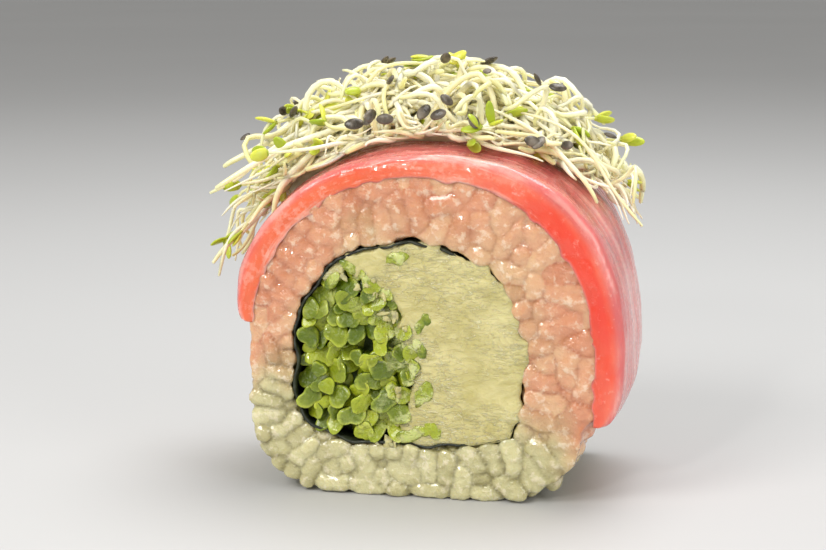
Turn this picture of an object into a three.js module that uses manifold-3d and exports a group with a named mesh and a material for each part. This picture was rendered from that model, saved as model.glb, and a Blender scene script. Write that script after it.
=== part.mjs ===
// One slice of an inside-out sushi roll (uramaki), in millimetres, with +Z up.
// It stands on its flat foot of rice, with one cut face to the front (-Y) and the other to the back.
// From the middle outwards it is a filling of soft cheese and green stalks, a wrap of seaweed, a thick ring
// of rice grains, a slice of raw tuna over the top like a saddle, and a heap of fine sprouts on the tuna.

import * as THREE from "three";
import { mergeVertices } from "three/addons/utils/BufferGeometryUtils.js";
import Module from "manifold-3d";

const wasm = await Module();
wasm.setup();

// Driving dimensions
const DEPTH = 25; // from cut face to cut face
const AIR = 0.15; // hairline left between layers that lie on each other
const RICE = { centreX: 0, shoulderZ: 17, halfWidth: 20.8, above: 21.8, below: 17, roof: 2.15, foot: 4.5 };
const NORI = { centreX: -1.6, shoulderZ: 17.4, halfWidth: 13.8, above: 13.6, below: 10.9, roof: 2.15, foot: 4.2 };
const NORI_RIPPLE = 0.22; // the wrap gives way between the grains
const NORI_THICKNESS = 0.4;
const NORI_SUNK = 0.1; // its cut edges lie just behind the cut faces
const GRAIN = { length: 5.7, width: 3.1, thickness: 2.8, spread: 0.12, sunk: 0.9, turn: 1.5, lean: 0.3, stray: 0.5 };
const CORE_SUNK = 0.7; // the rice's plain core lies behind the grains of the cut faces
const TUNA = { rightEnd: -16, leftEnd: 172, slant: 4, thickness: 2.5, crown: 0.9, edge: 0.7, bands: 20 };
const TUNA_TAPER = { right: 1 / 14, left: 1 / 8, thinnest: 0.3 }; // shares of its arc that thin towards its ends
const TUNA_SWELLS = [ // where round the roll it is thicker, in degrees
  { by: 1.5, at: 42, width: 30 },
  { by: 0.6, at: -5, width: 18 },
  { by: 0.6, at: 155, width: 25 },
];
const CHEESE_SUNK = 0.3; // the knife drags the soft cheese back from the cut faces
const MARK = { length: 12, width: 1.9, thickness: 0.8, x: 5, heights: [10, 16, 22.5] }; // drag marks of the knife
const BUNDLE = { centreX: -9.1, centreZ: 15.9, halfWidth: 8.9, halfHeight: 11.9 };
const BUNDLE_WAVE = 0.35; // its edge gives way round the stalks
const STALK = { radius: 1.7, spacing: 3.6, sides: 5, standOut: 1.4, stray: 0.4, uneven: 0.9 };
const HEAP = { centreU: -1.5, centreY: 2.6, halfU: 21, halfY: 9.2, height: 4.4, reach: 24.3, spokes: 16 };
const HEAP_BASE = 0.4; // from the tuna to the underside of the heap
const HEAP_BODY = 0.8; // thickness of the heap's core at its rim
const STRAND = { count: 16, radius: 0.55, shortest: 18, longest: 32, sides: 4, steps: 8, layers: 2.4 };
// the few long stems that leave the heap over its shoulders: where each starts, what it bends towards, where it ends
const REACHING = [
  [[-8, -1, 47], [-19, -4, 42.5], [-28, -6, 34.8]],
  [[-5, -3, 46], [-16, -8, 42.5], [-24.5, -8.8, 37]],
  [[-9, 2, 47], [-20, 2, 45], [-26, -1, 37.5]],
  [[-9, -3, 45], [-15.5, -7, 42.5], [-18.5, -8.6, 33.5]],
  [[8, -3, 46], [19, -7.5, 45.5], [24.8, -8.5, 33]],
  [[6, -4, 46.5], [16, -8, 44], [19, -9.2, 36.5]],
];
const LEAF = { length: 2.9, radius: 0.75 };
const HULL = { count: 8, length: 2.5, width: 1.5, thickness: 1.0 };

const RIGHT_ANGLE = Math.PI / 2;
const toRadians = THREE.MathUtils.degToRad;

/** A repeatable stream of numbers from 0 to 1. */
function seededRandom(seed) {
  let state = seed;
  return () => {
    state = (state * 1664525 + 1013904223) % 4294967296;
    return state / 4294967296;
  };
}

/** A smooth hump of height 1 round a middle, with a given half-width. */
const hump = (value, middle, width) => Math.exp(-(((value - middle) / width) ** 2));

// Outlines across the roll, in the XZ plane

/** A loaf outline at a polar angle: one superellipse above the shoulder and a squarer one below it. */
function loaf(outline, angle) {
  const c = Math.cos(angle);
  const s = Math.sin(angle);
  const [height, power] = s >= 0 ? [outline.above, outline.roof] : [outline.below, outline.foot];
  const sum = Math.abs(c / outline.halfWidth) ** power + Math.abs(s / height) ** power;
  const ripple = outline === NORI ? NORI_RIPPLE * (Math.sin(9 * angle + 1) + 0.6 * Math.sin(17 * angle)) : 0;
  const reach = sum ** (-1 / power) + ripple;
  return new THREE.Vector2(outline.centreX + reach * c, outline.shoulderZ + reach * s);
}

/** The outward normal of a loaf outline. */
function loafNormal(outline, angle) {
  const step = 0.02;
  const along = loaf(outline, angle + step).sub(loaf(outline, angle - step)).normalize();
  return new THREE.Vector2(along.y, -along.x);
}

/** A point of a loaf outline moved outwards by a distance. */
const offsetLoaf = (outline, angle, grow) => loaf(outline, angle).addScaledVector(loafNormal(outline, angle), grow);

/** The closed list of outline points, moved outwards by a distance that may vary with the angle. */
function outlinePoints(outline, grow, count = 48) {
  const distance = typeof grow === "function" ? grow : () => grow;
  return Array.from({ length: count }, (_, i) => {
    const angle = (i / count) * 2 * Math.PI;
    return offsetLoaf(outline, angle, distance(angle));
  });
}

// Solids

/** A manifold solid of a closed geometry. */
function solid(geometry) {
  const bare = geometry.clone();
  for (const name of ["normal", "uv"]) bare.deleteAttribute(name);
  const merged = mergeVertices(bare, 1e-4);
  return new wasm.Manifold(
    new wasm.Mesh({
      numProp: 3,
      vertProperties: new Float32Array(merged.attributes.position.array),
      triVerts: new Uint32Array(merged.index.array),
    }),
  );
}

/** The three.js geometry of a manifold solid, with flat faces. */
function geometryOf(manifold) {
  const { vertProperties, triVerts } = manifold.getMesh();
  const geometry = new THREE.BufferGeometry();
  geometry.setAttribute("position", new THREE.BufferAttribute(new Float32Array(vertProperties), 3));
  geometry.setIndex(new THREE.BufferAttribute(new Uint32Array(triVerts), 1));
  geometry.computeVertexNormals();
  return geometry;
}

/** The largest of a solid's separate bodies: loose scraps are dropped, and hollows that joining sealed are filled. */
function largestBody(manifold) {
  const largest = manifold.decompose().reduce((best, body) => (body.volume() > best.volume() ? body : best));
  const rebuilt = solid(geometryOf(largest));
  return rebuilt.decompose().length > 1 ? largestBody(rebuilt) : rebuilt;
}

/** Joins a list of solids into one. */
const joined = (solids) => wasm.Manifold.union(solids);

/** A prism of an XZ outline between two depths. */
function prism(points, front, back) {
  const extruded = new THREE.ExtrudeGeometry(new THREE.Shape(points), { depth: back - front, bevelEnabled: false });
  extruded.rotateX(RIGHT_ANGLE);
  extruded.translate(0, back, 0);
  return solid(extruded);
}

/** A closed skin through rings of as many points each, with a fan over each end ring. */
function skin(rings) {
  const size = rings[0].length;
  const points = rings.flat();
  const faces = [];
  for (let r = 0; r + 1 < rings.length; r++)
    for (let k = 0; k < size; k++) {
      const a = r * size + k;
      const b = r * size + ((k + 1) % size);
      faces.push([a, b, b + size], [a, b + size, a + size]);
    }
  for (const [first, turned] of [[0, true], [(rings.length - 1) * size, false]]) {
    const centre = new THREE.Vector3();
    for (let k = 0; k < size; k++) centre.addScaledVector(points[first + k], 1 / size);
    const hub = points.push(centre) - 1;
    for (let k = 0; k < size; k++) {
      const a = first + k;
      const b = first + ((k + 1) % size);
      faces.push(turned ? [hub, b, a] : [hub, a, b]);
    }
  }
  const volume = faces.reduce((sum, [a, b, c]) => sum + points[a].dot(points[b].clone().cross(points[c])), 0);
  const geometry = new THREE.BufferGeometry().setFromPoints(points);
  geometry.setIndex(faces.flatMap(([a, b, c]) => (volume > 0 ? [a, b, c] : [a, c, b])));
  return solid(geometry);
}

/** An ellipsoid of few faces: its long axis lies along one direction and its thin one along another. */
function pellet(centre, along, thin, { length, width, thickness }, sides = 5, bands = 3) {
  const across = new THREE.Vector3().crossVectors(thin, along).normalize();
  const upright = new THREE.Vector3().crossVectors(across, along).normalize();
  const ball = new THREE.SphereGeometry(0.5, sides, bands);
  ball.scale(width, length, thickness);
  ball.applyMatrix4(new THREE.Matrix4().makeBasis(across, along, upright).setPosition(centre));
  return solid(ball);
}

// Tuna: a slab that follows the top of the rice

const halfDepth = DEPTH / 2;

/** Thickness of the tuna at an angle in degrees, thickest at the upper right. */
const tunaThickness = (degrees) =>
  TUNA_SWELLS.reduce((sum, { by, at, width }) => sum + by * hump(degrees, at, width), TUNA.thickness);

/** How far the tuna's top surface stands from the rice, with its middle crowned between the cut faces. */
const tunaReach = (degrees, y) =>
  AIR + tunaThickness(degrees) + TUNA.crown * Math.max(0, 1 - (y / halfDepth) ** 2);

/** A point at a distance from the rice's outline. */
function overRice(angle, y, distance) {
  const p = offsetLoaf(RICE, angle, distance);
  return new THREE.Vector3(p.x, y, p.y);
}

/** The slab as a skin of rings across its depth, from its right end to its left; grow moves every face outwards. */
function tunaSlab(grow = 0) {
  const { thinnest } = TUNA_TAPER;
  const faceWave = 0.2;
  const faceGrow = 10 * grow;
  const endGrow = 3 * grow; // in degrees
  const rings = [];
  for (let i = 0; i <= TUNA.bands; i++) {
    const share = i / TUNA.bands;
    const toEnd = Math.min(1, share / TUNA_TAPER.right, (1 - share) / TUNA_TAPER.left);
    const taper = thinnest + (1 - thinnest) * Math.sqrt(1 - (1 - toEnd) ** 2);
    const ringPoint = ([y, height]) => {
      const slant = TUNA.slant * (y / halfDepth);
      const right = TUNA.rightEnd + slant + 1.5 * Math.sin(y / 3) - endGrow;
      const left = TUNA.leftEnd + 0.6 * slant - 1.5 * Math.sin(y / 4) + endGrow;
      const degrees = right + (left - right) * share;
      const top = (tunaReach(degrees, y) - AIR) * taper;
      return overRice(toRadians(degrees), y, AIR - grow + (top + 2 * grow) * height);
    };
    const half = halfDepth + faceWave * Math.sin(0.9 * i) + faceGrow;
    const flat = half - 1.8 * TUNA.edge;
    const halfRing = [[half, 0], [half - 0.05, 0.62], [half - 0.6 * TUNA.edge, 0.92], [flat, 1], [flat / 2, 1]];
    const mirrored = halfRing.map(([y, height]) => [-y, height]).reverse();
    rings.push([...halfRing, [0, 1], ...mirrored, [-half / 3, 0], [half / 3, 0]].map(ringPoint));
  }
  return skin(rings);
}

// Seaweed: a thin wrap between the rice and the filling

const noriSheet = prism(outlinePoints(NORI, 0), -halfDepth + NORI_SUNK, halfDepth - NORI_SUNK).subtract(
  prism(outlinePoints(NORI, -NORI_THICKNESS), -DEPTH, DEPTH),
);

/** The room inside the wrap, through both cut faces. */
const fillingRoom = () => prism(outlinePoints(NORI, -NORI_THICKNESS - AIR), -DEPTH, DEPTH);

// Filling: soft cheese on the right, a bundle of stalks on the left

/** The rounded outline round the bundle of stalks. */
const bundleOutline = (grow) =>
  Array.from({ length: 40 }, (_, i) => {
    const angle = (i / 40) * 2 * Math.PI;
    const wave = BUNDLE_WAVE * Math.sin(5 * angle + 0.6);
    return new THREE.Vector2(
      BUNDLE.centreX + (BUNDLE.halfWidth + wave + grow) * Math.cos(angle),
      BUNDLE.centreZ + (BUNDLE.halfHeight + wave + grow) * Math.sin(angle),
    );
  });

/** The block of cheese, with low drag marks of the knife on both cut faces. */
function cheeseBlock() {
  const face = halfDepth - CHEESE_SUNK;
  const marks = [-1, 1].flatMap((side) =>
    MARK.heights.map((z, i) => {
      const centre = new THREE.Vector3(MARK.x - 0.5 * i, side * (face - 0.05), z);
      const along = new THREE.Vector3(1, 0, 0.12 * Math.sin(2.3 * i)).normalize();
      return pellet(centre, along, new THREE.Vector3(0, 1, 0), MARK);
    }),
  );
  const slab = new THREE.BoxGeometry(4 * NORI.halfWidth, 2 * face, 4 * NORI.halfWidth).translate(0, 0, NORI.shoulderZ);
  return joined([solid(slab), ...marks])
    .intersect(fillingRoom())
    .subtract(prism(bundleOutline(AIR), -DEPTH, DEPTH));
}

/** Stalks side by side on a close-packed grid: a plain bundle inside, with each stalk's end standing out of it. */
function stalkBundle() {
  const random = seededRandom(7);
  const inside = halfDepth - STALK.standOut;
  const rooted = 0.5; // how far a stalk's end reaches into the bundle
  const stalks = [prism(bundleOutline(-AIR), -inside, inside)];
  const rowHeight = STALK.spacing * Math.sin(Math.PI / 3);
  for (const side of [-1, 1])
    for (let row = -4; row <= 4; row++)
      for (let column = -3; column <= 3; column++) {
        const x = BUNDLE.centreX + (column + (row % 2 ? 0.5 : 0)) * STALK.spacing + (random() - 0.5) * STALK.stray;
        const z = BUNDLE.centreZ + row * rowHeight + (random() - 0.5) * STALK.stray;
        const radius = STALK.radius * (0.9 + 0.14 * random());
        const end = halfDepth + 0.2 - STALK.uneven * random();
        const length = end - inside + rooted;
        const stalk = new THREE.CylinderGeometry(radius, radius, length, STALK.sides);
        stalk.rotateY(random() * Math.PI);
        stalk.translate(x, side * (end - length / 2), z);
        const across = (x - BUNDLE.centreX) / (BUNDLE.halfWidth - 0.9 * radius);
        const upright = (z - BUNDLE.centreZ) / (BUNDLE.halfHeight - 0.9 * radius);
        if (across ** 2 + upright ** 2 < 1) stalks.push(solid(stalk));
      }
  return joined(stalks).intersect(fillingRoom());
}

// Rice: a ring of grains pressed together, fused to a plain core

/** Whether the tuna lies over the rice at an angle. */
function underTuna(angle) {
  const degrees = THREE.MathUtils.radToDeg(Math.atan2(Math.sin(angle), Math.cos(angle)));
  const turned = degrees < -90 ? degrees + 360 : degrees;
  return turned > TUNA.rightEnd - 2 && turned < TUNA.leftEnd + 2;
}

/** How far the core lies inside the outline: just clear of the tuna, and lower where grains cover it. */
const coreInset = (angle) => (underTuna(angle) ? AIR : GRAIN.sunk);

/** One grain of uneven size, turned in the plane that it lies in. */
function riceGrain(random, centre, outward, along) {
  const size = 1 + GRAIN.spread * (2 * random() - 1);
  const turn = (random() - 0.5) * GRAIN.turn;
  const lean = (random() - 0.5) * GRAIN.lean;
  const direction = along.clone().applyAxisAngle(outward, turn);
  direction.addScaledVector(outward, lean).normalize();
  const dimensions = { length: GRAIN.length * size, width: GRAIN.width, thickness: GRAIN.thickness * (2 - size) };
  return pellet(centre, direction, outward, dimensions);
}

/** Grains in two rows round a cut face: one along the seaweed and one along the outside. */
function faceGrains(random, side) {
  const grains = [];
  const rows = [
    { outline: NORI, distance: 2.0, count: 18 },
    { outline: RICE, distance: -2.1, count: 24 },
  ];
  const pressed = 0.6; // the tuna presses its grains in
  const depth = halfDepth - 1;
  for (const { outline, distance, count } of rows)
    for (let i = 0; i < count; i++) {
      const angle = ((i + 0.6 * (random() - 0.5)) / count) * 2 * Math.PI;
      const sunk = outline === RICE && underTuna(angle) ? pressed : 0;
      const p = offsetLoaf(outline, angle, distance - sunk + GRAIN.stray * (random() - 0.5));
      const centre = new THREE.Vector3(p.x, side * (depth + 0.8 * GRAIN.stray * (random() - 0.5)), p.y);
      const along = new THREE.Vector3(-Math.sin(angle), 0, Math.cos(angle));
      grains.push(riceGrain(random, centre, new THREE.Vector3(0, side, 0), along));
    }
  return grains;
}

/** Grains in five rows round the outside that the tuna leaves bare, and one at the middle of the foot. */
function outerGrains(random) {
  const rowCount = 5;
  const perRow = 12;
  const rowSpacing = 4.7;
  const margin = 6; // degrees from the tuna's ends to the first and last grains
  const alongDepth = new THREE.Vector3(0, 1, 0);
  const from = toRadians(TUNA.leftEnd + margin);
  const to = toRadians(360 + TUNA.rightEnd - margin);
  const footGrain = pellet(overRice(toRadians(270), 0, -GRAIN.sunk), alongDepth, new THREE.Vector3(0, 0, -1), GRAIN);
  const grains = [footGrain];
  for (let row = 0; row < rowCount; row++)
    for (let i = 0; i <= perRow; i++) {
      const share = (i + (row % 2 ? 0.5 : 0)) / perRow;
      const angle = from + (to - from) * share;
      const y = (row - (rowCount - 1) / 2) * rowSpacing + 1.6 * GRAIN.stray * (random() - 0.5);
      const centre = overRice(angle, y, -GRAIN.sunk + 0.6 * GRAIN.stray * (random() - 0.5));
      const n = loafNormal(RICE, angle);
      grains.push(riceGrain(random, centre, new THREE.Vector3(n.x, 0, n.y), alongDepth));
    }
  return grains;
}

/** The ring of rice, cut flat where it stands and clear of the tuna and the seaweed. */
function riceRing() {
  const random = seededRandom(21);
  const face = halfDepth - CORE_SUNK;
  const core = prism(outlinePoints(RICE, (angle) => -coreInset(angle)), -face, face);
  const grains = [...faceGrains(random, -1), ...faceGrains(random, 1), ...outerGrains(random)];
  const below = new THREE.BoxGeometry(4 * RICE.halfWidth, 4 * DEPTH, 10).translate(0, 0, -5);
  return joined([core, ...grains])
    .subtract(prism(outlinePoints(NORI, AIR), -DEPTH, DEPTH))
    .subtract(tunaSlab(AIR))
    .subtract(solid(below));
}

// Sprouts: a heap of fine curved stems with seed leaves and dark hulls

/** A point over the tuna: u runs round the roll to the right of its top, and distance stands off the rice. */
const overTuna = (u, y, distance) => overRice(RIGHT_ANGLE - u / HEAP.reach, y, distance);

/** How far the tuna's surface stands from the rice at u. */
const tunaTop = (u, y) => tunaReach(90 - THREE.MathUtils.radToDeg(u / HEAP.reach), y);

/** Height of the heap over the tuna: a dome that runs out at its rim. */
function domeHeight(u, y) {
  const rim = ((u - HEAP.centreU) / HEAP.halfU) ** 2 + ((y - HEAP.centreY) / HEAP.halfY) ** 2;
  return HEAP.height * Math.max(0, 1 - rim) ** 0.6;
}

/** The heap's closed core, level with the stems that lie on it. */
function heapCore() {
  const ringAt = (share, top) =>
    Array.from({ length: HEAP.spokes }, (_, k) => {
      const angle = (k / HEAP.spokes) * 2 * Math.PI;
      const u = HEAP.centreU + HEAP.halfU * share * Math.cos(angle);
      const y = HEAP.centreY + HEAP.halfY * share * Math.sin(angle);
      const bumps = 0.6 * Math.sin(u * 1.3 + 2 * y) * Math.cos(y * 1.1);
      const height = top ? HEAP_BODY + Math.max(0, domeHeight(u, y) + bumps) : 0;
      return overTuna(u, y, tunaTop(u, y) + HEAP_BASE + height);
    });
  return skin([
    ...[0.2, 0.6, 1].map((share) => ringAt(share, false)),
    ...[1, 0.85, 0.55, 0.2].map((share) => ringAt(share, true)),
  ]);
}

/** The middle line of one stem: it dips to the core at its middle, curls and lifts at its ends, and droops outside. */
function stemLine(random, layer) {
  const spot = random() * 2 * Math.PI;
  const share = Math.sqrt(random()) * 0.74;
  const u0 = HEAP.centreU + HEAP.halfU * share * Math.cos(spot);
  const y0 = HEAP.centreY + HEAP.halfY * share * Math.sin(spot);
  const length = STRAND.shortest + (STRAND.longest - STRAND.shortest) * random();
  const heading = (random() - 0.5) * 2.6 + (random() < 0.5 ? Math.PI : 0);
  const curl = (random() - 0.5) * 0.26;
  const sway = (random() - 0.5) * 1.4;
  const ride = 0.5 + STRAND.layers * layer;
  const spring = 0.4 + 2.6 * random() ** 2;
  const headLift = 4.5 * random() ** 2;
  const tailLift = 3 * random() ** 2;
  const stepLength = length / STRAND.steps;
  const places = Array.from({ length: STRAND.steps + 1 }, () => [u0, y0]);
  const middle = STRAND.steps / 2;
  for (const way of [1, -1])
    for (let k = 1; k <= middle; k++) {
      const s = way * (k - 0.5) * stepLength;
      const turn = heading + curl * s + sway * Math.sin((s / length) * 2 * Math.PI);
      const [u, y] = places[middle + way * (k - 1)];
      places[middle + way * k] = [
        u + way * stepLength * Math.cos(turn),
        y + way * stepLength * Math.sin(turn),
      ];
    }
  return places.map(([u, y], k) => {
    const end = (k - middle) / middle;
    const lift = end > 0 ? headLift * end ** 3 : tailLift * Math.abs(end) ** 3;
    const overhang = Math.max(0, Math.abs(y) - halfDepth - 1);
    const shoulder = Math.max(0, Math.abs(u) - 15);
    const clear = -0.3 + (ride + 0.3) * Math.min(1, 2 * Math.abs(end));
    const lie = tunaTop(u, y) + HEAP_BASE + STRAND.radius + Math.max(0, domeHeight(u, y) + clear);
    return overTuna(u, y, lie + lift + spring * (shoulder ** 2 / 48) - 0.12 * overhang ** 2);
  });
}

/** The middle line of one long stem: a sagging curve that wavers more towards its end. */
function reachingLine([start, bend, end], number) {
  const curve = new THREE.QuadraticBezierCurve3(...[start, bend, end].map((p) => new THREE.Vector3(...p)));
  return Array.from({ length: STRAND.steps + 1 }, (_, k) => {
    const along = k / STRAND.steps;
    const waver = [9, 8, 7].map((rate, axis) => {
      const phase = number * (axis + 1);
      return 0.7 * along * (Math.sin(rate * along + phase) - Math.sin(phase));
    });
    return curve.getPoint(along).add(new THREE.Vector3(...waver));
  });
}

/** A stem as a thin tube along its line, finer towards the root; seed leaves close its other end where it has them. */
function stem(line, leafed) {
  const curve = new THREE.CatmullRomCurve3(line);
  const frames = curve.computeFrenetFrames(STRAND.steps, false);
  const rings = line.map((_, k) => {
    const share = k / STRAND.steps;
    const centre = curve.getPoint(share);
    const radius = STRAND.radius * (share < 0.15 ? 0.55 + 3 * share : 1);
    return Array.from({ length: STRAND.sides }, (_, side) => {
      const angle = (side / STRAND.sides) * 2 * Math.PI;
      return centre
        .clone()
        .addScaledVector(frames.normals[k], radius * Math.cos(angle))
        .addScaledVector(frames.binormals[k], radius * Math.sin(angle));
    });
  });
  if (!leafed) return [skin(rings)];
  const size = { length: LEAF.length, width: 2 * LEAF.radius, thickness: 1.5 * LEAF.radius };
  const tip = curve.getPoint(1).addScaledVector(frames.tangents[STRAND.steps], 0.3 * LEAF.length);
  return [skin(rings), pellet(tip, frames.tangents[STRAND.steps], frames.normals[STRAND.steps], size, 5)];
}

/** A dark seed hull that lies on the dome. */
function seedHull(random) {
  const spot = random() * 2 * Math.PI;
  const share = 0.25 + 0.65 * random();
  const u = HEAP.centreU + HEAP.halfU * share * Math.cos(spot);
  const y = HEAP.centreY + HEAP.halfY * share * Math.sin(spot);
  const centre = overTuna(u, y, tunaTop(u, y) + 0.9 + domeHeight(u, y));
  const along = new THREE.Vector3(Math.cos(6 * spot), Math.sin(6 * spot), 0.3 * (random() - 0.5)).normalize();
  return pellet(centre, along, new THREE.Vector3(0, 0, 1), HULL, 5);
}

function sproutHeap() {
  const random = seededRandom(2);
  const lines = Array.from({ length: STRAND.count }, (_, i) => stemLine(random, i / STRAND.count));
  const stems = [
    ...lines.flatMap((line) => stem(line, true)),
    ...REACHING.map(reachingLine).flatMap((line) => stem(line, false)),
  ];
  const hulls = Array.from({ length: HULL.count }, () => seedHull(random));
  return joined([heapCore(), ...stems, ...hulls]).subtract(tunaSlab(AIR));
}

// The assembled slice

const paint = {
  rice: new THREE.MeshStandardMaterial({ color: 0xe6dfc0, roughness: 0.35, metalness: 0 }),
  nori: new THREE.MeshStandardMaterial({ color: 0x15190f, roughness: 0.45, metalness: 0 }),
  cheese: new THREE.MeshStandardMaterial({ color: 0xeae3ad, roughness: 0.5, metalness: 0 }),
  greens: new THREE.MeshStandardMaterial({ color: 0x93ad33, roughness: 0.3, metalness: 0 }),
  tuna: new THREE.MeshStandardMaterial({ color: 0xe4564a, roughness: 0.3, metalness: 0 }),
  sprouts: new THREE.MeshStandardMaterial({ color: 0xf0e8c4, roughness: 0.4, metalness: 0 }),
};

const slice = new THREE.Group();
const pieces = [
  ["rice", riceRing(), paint.rice],
  ["nori", noriSheet, paint.nori],
  ["cream_cheese", cheeseBlock(), paint.cheese],
  ["green_stalks", stalkBundle(), paint.greens],
  ["tuna_slice", tunaSlab(), paint.tuna],
  ["sprouts", sproutHeap(), paint.sprouts],
];
for (const [name, manifold, material] of pieces) {
  const mesh = new THREE.Mesh(geometryOf(largestBody(manifold)), material);
  mesh.name = name;
  slice.add(mesh);
}

export default slice;
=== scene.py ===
import bpy
import numpy as np
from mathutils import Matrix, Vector


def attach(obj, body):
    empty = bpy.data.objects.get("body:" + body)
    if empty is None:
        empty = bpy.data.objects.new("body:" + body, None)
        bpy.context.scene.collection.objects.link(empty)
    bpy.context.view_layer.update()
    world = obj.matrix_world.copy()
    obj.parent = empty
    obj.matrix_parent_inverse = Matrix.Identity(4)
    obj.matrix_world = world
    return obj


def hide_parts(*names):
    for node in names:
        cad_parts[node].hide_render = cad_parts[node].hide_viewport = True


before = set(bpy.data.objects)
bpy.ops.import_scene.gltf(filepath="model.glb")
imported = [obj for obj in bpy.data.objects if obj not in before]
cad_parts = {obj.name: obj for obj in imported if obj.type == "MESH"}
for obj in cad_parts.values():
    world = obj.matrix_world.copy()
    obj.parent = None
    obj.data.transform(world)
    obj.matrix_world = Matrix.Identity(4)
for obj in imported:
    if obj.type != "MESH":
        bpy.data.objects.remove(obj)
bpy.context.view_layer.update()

# The ring of rice
# Short-grain rice, boiled and seasoned, pressed by hand round the seaweed and cut across with a wet knife.
# The grains stay whole and stick together, flat only where the knife, the fish or the board pressed them.

HALF = 12.5  # half the slice's depth
RICE = {
    "centre_x": 0, "shoulder_z": 17, "half_width": 20.8, "above": 21.8, "below": 17,
    "roof": 2.15, "foot": 4.5, "ripple": 0,
}
WRAP = {
    "centre_x": -1.6, "shoulder_z": 17.4, "half_width": 13.8, "above": 13.6, "below": 10.9,
    "roof": 2.15, "foot": 4.2, "ripple": 0.22,
}
GRAIN_COUNT = 1080
GRAIN_SIZE = np.array([5.3, 3.05, 2.75])
GRAIN_BALL = 1.2  # radius of the three balls that stand in for a grain while it settles
GRAIN_REACH = 1.2  # from a grain's middle to the balls near its ends
SETTLING = 64  # turns until the grains lie still
RICE_STEP = 0.315  # of the grid on which the grains are joined
GROOVE = 0.4  # how fast the groove between two grains runs out
FISH_ENDS = (-16, 172)  # polar angles in degrees


def loaf(outline, angle):
    """Outline point at a polar angle: a superellipse above the shoulder and a squarer one below it."""
    c, s = np.cos(angle), np.sin(angle)
    height = np.where(s >= 0, outline["above"], outline["below"])
    power = np.where(s >= 0, outline["roof"], outline["foot"])
    reach = (np.abs(c / outline["half_width"]) ** power + np.abs(s / height) ** power) ** (-1 / power)
    reach = reach + outline["ripple"] * (np.sin(9 * angle + 1) + 0.6 * np.sin(17 * angle))
    return outline["centre_x"] + reach * c, outline["shoulder_z"] + reach * s


def loaf_normal(outline, angle):
    """Outward direction of an outline: a short step along it, turned by a right angle."""
    x0, z0 = loaf(outline, angle - 0.02)
    x1, z1 = loaf(outline, angle + 0.02)
    length = np.hypot(x1 - x0, z1 - z0)
    return (z1 - z0) / length, (x0 - x1) / length


def past(outline, x, z):
    """How far points lie outside an outline, with its outward direction and polar angle there."""
    angle = np.arctan2(z - outline["shoulder_z"], x - outline["centre_x"])
    px, pz = loaf(outline, angle)
    nx, nz = loaf_normal(outline, angle)
    return (x - px) * nx + (z - pz) * nz, nx, nz, angle


def stacked(*values):
    """Arrays of numbers, spread to one shape, as one array of vectors."""
    return np.stack(np.broadcast_arrays(*values), axis=-1)


def over(outline, angle, y, distance):
    """Points at a polar angle and a depth that stand off an outline along its outward direction."""
    x, z = loaf(outline, angle)
    nx, nz = loaf_normal(outline, angle)
    return stacked(x + distance * nx, y, z + distance * nz)


def under_fish(angle, fade=12.0):
    """1 where the fish lies over the rice, easing to 0 past its ends."""
    degrees = (np.degrees(angle) + 90) % 360 - 90
    inside = np.minimum(degrees - FISH_ENDS[0], FISH_ENDS[1] - degrees)
    return np.clip(1 + inside / fade, 0, 1)


def hump(value, middle, width):
    """A smooth hump of height 1 round a middle."""
    return np.exp(-(((value - middle) / width) ** 2))


def unit(vectors):
    """Vectors scaled to length 1."""
    return vectors / np.linalg.norm(vectors, axis=-1, keepdims=True)


def waves(points, size, seed, octaves=3):
    """Smooth noise of about -1 to 1: sines along random directions, each octave half as long and strong."""
    random = np.random.default_rng(seed)
    total = 0
    for octave in range(octaves):
        ways = unit(random.normal(size=(7, points.shape[-1]))) * 2 * np.pi / size * 2**octave
        total = total + 0.5**octave * np.sin(points @ ways.T + random.uniform(0, 6.3, 7)).mean(-1) * 1.5
    return total


def three_balls(centre, way):
    """The balls that stand in for each rod: one at its middle and one towards each end."""
    steps = np.array([-GRAIN_REACH, 0, GRAIN_REACH])[:, None]
    return (centre[:, None] + way[:, None] * steps).reshape(-1, 3).astype(np.float32)


def settled_grains(count, seed):
    """Rods of three balls in the ring: turn by turn, balls that overlap part and the walls push them back."""
    random = np.random.default_rng(seed)
    angle = random.uniform(0, 2 * np.pi, count)
    centre = over(WRAP, angle, random.uniform(-HALF, HALF, count), random.uniform(1, 6, count))
    way = unit(random.normal(size=(count, 3)) * [1, 0.8, 1])
    owner = np.repeat(np.arange(count), 3)
    apart = (owner[:, None] != owner[None]).astype(np.float32)
    for _ in range(SETTLING):
        balls = three_balls(centre, way)
        square = (balls**2).sum(1)
        gap = np.sqrt(np.maximum(square[:, None] + square[None] - 2 * balls @ balls.T, 1e-4))
        push = apart * np.maximum(0, 2 * GRAIN_BALL - gap) / gap * 0.5
        shift = balls * push.sum(1, keepdims=True) - push @ balls
        x, y, z = (balls + shift).T
        out, nx, nz, angle = past(RICE, x, z)
        outer = np.maximum(0, out + GRAIN_BALL - 0.35)
        shift[:, 0] -= outer * nx
        shift[:, 2] -= outer * nz
        within, mx, mz, _ = past(WRAP, x, z)
        inner = np.maximum(0, GRAIN_BALL - 0.1 - within)
        shift[:, 0] += inner * mx
        shift[:, 2] += inner * mz
        shift[:, 1] -= np.sign(y) * np.maximum(0, np.abs(y) - (HALF - GRAIN_BALL + 0.85))
        shift = shift.reshape(count, 3, 3)
        centre = centre + 0.55 * shift.mean(1)
        way = unit(way + 0.5 * (shift[:, 2] - shift[:, 0]) / (2 * GRAIN_REACH))
    return centre, way


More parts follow.
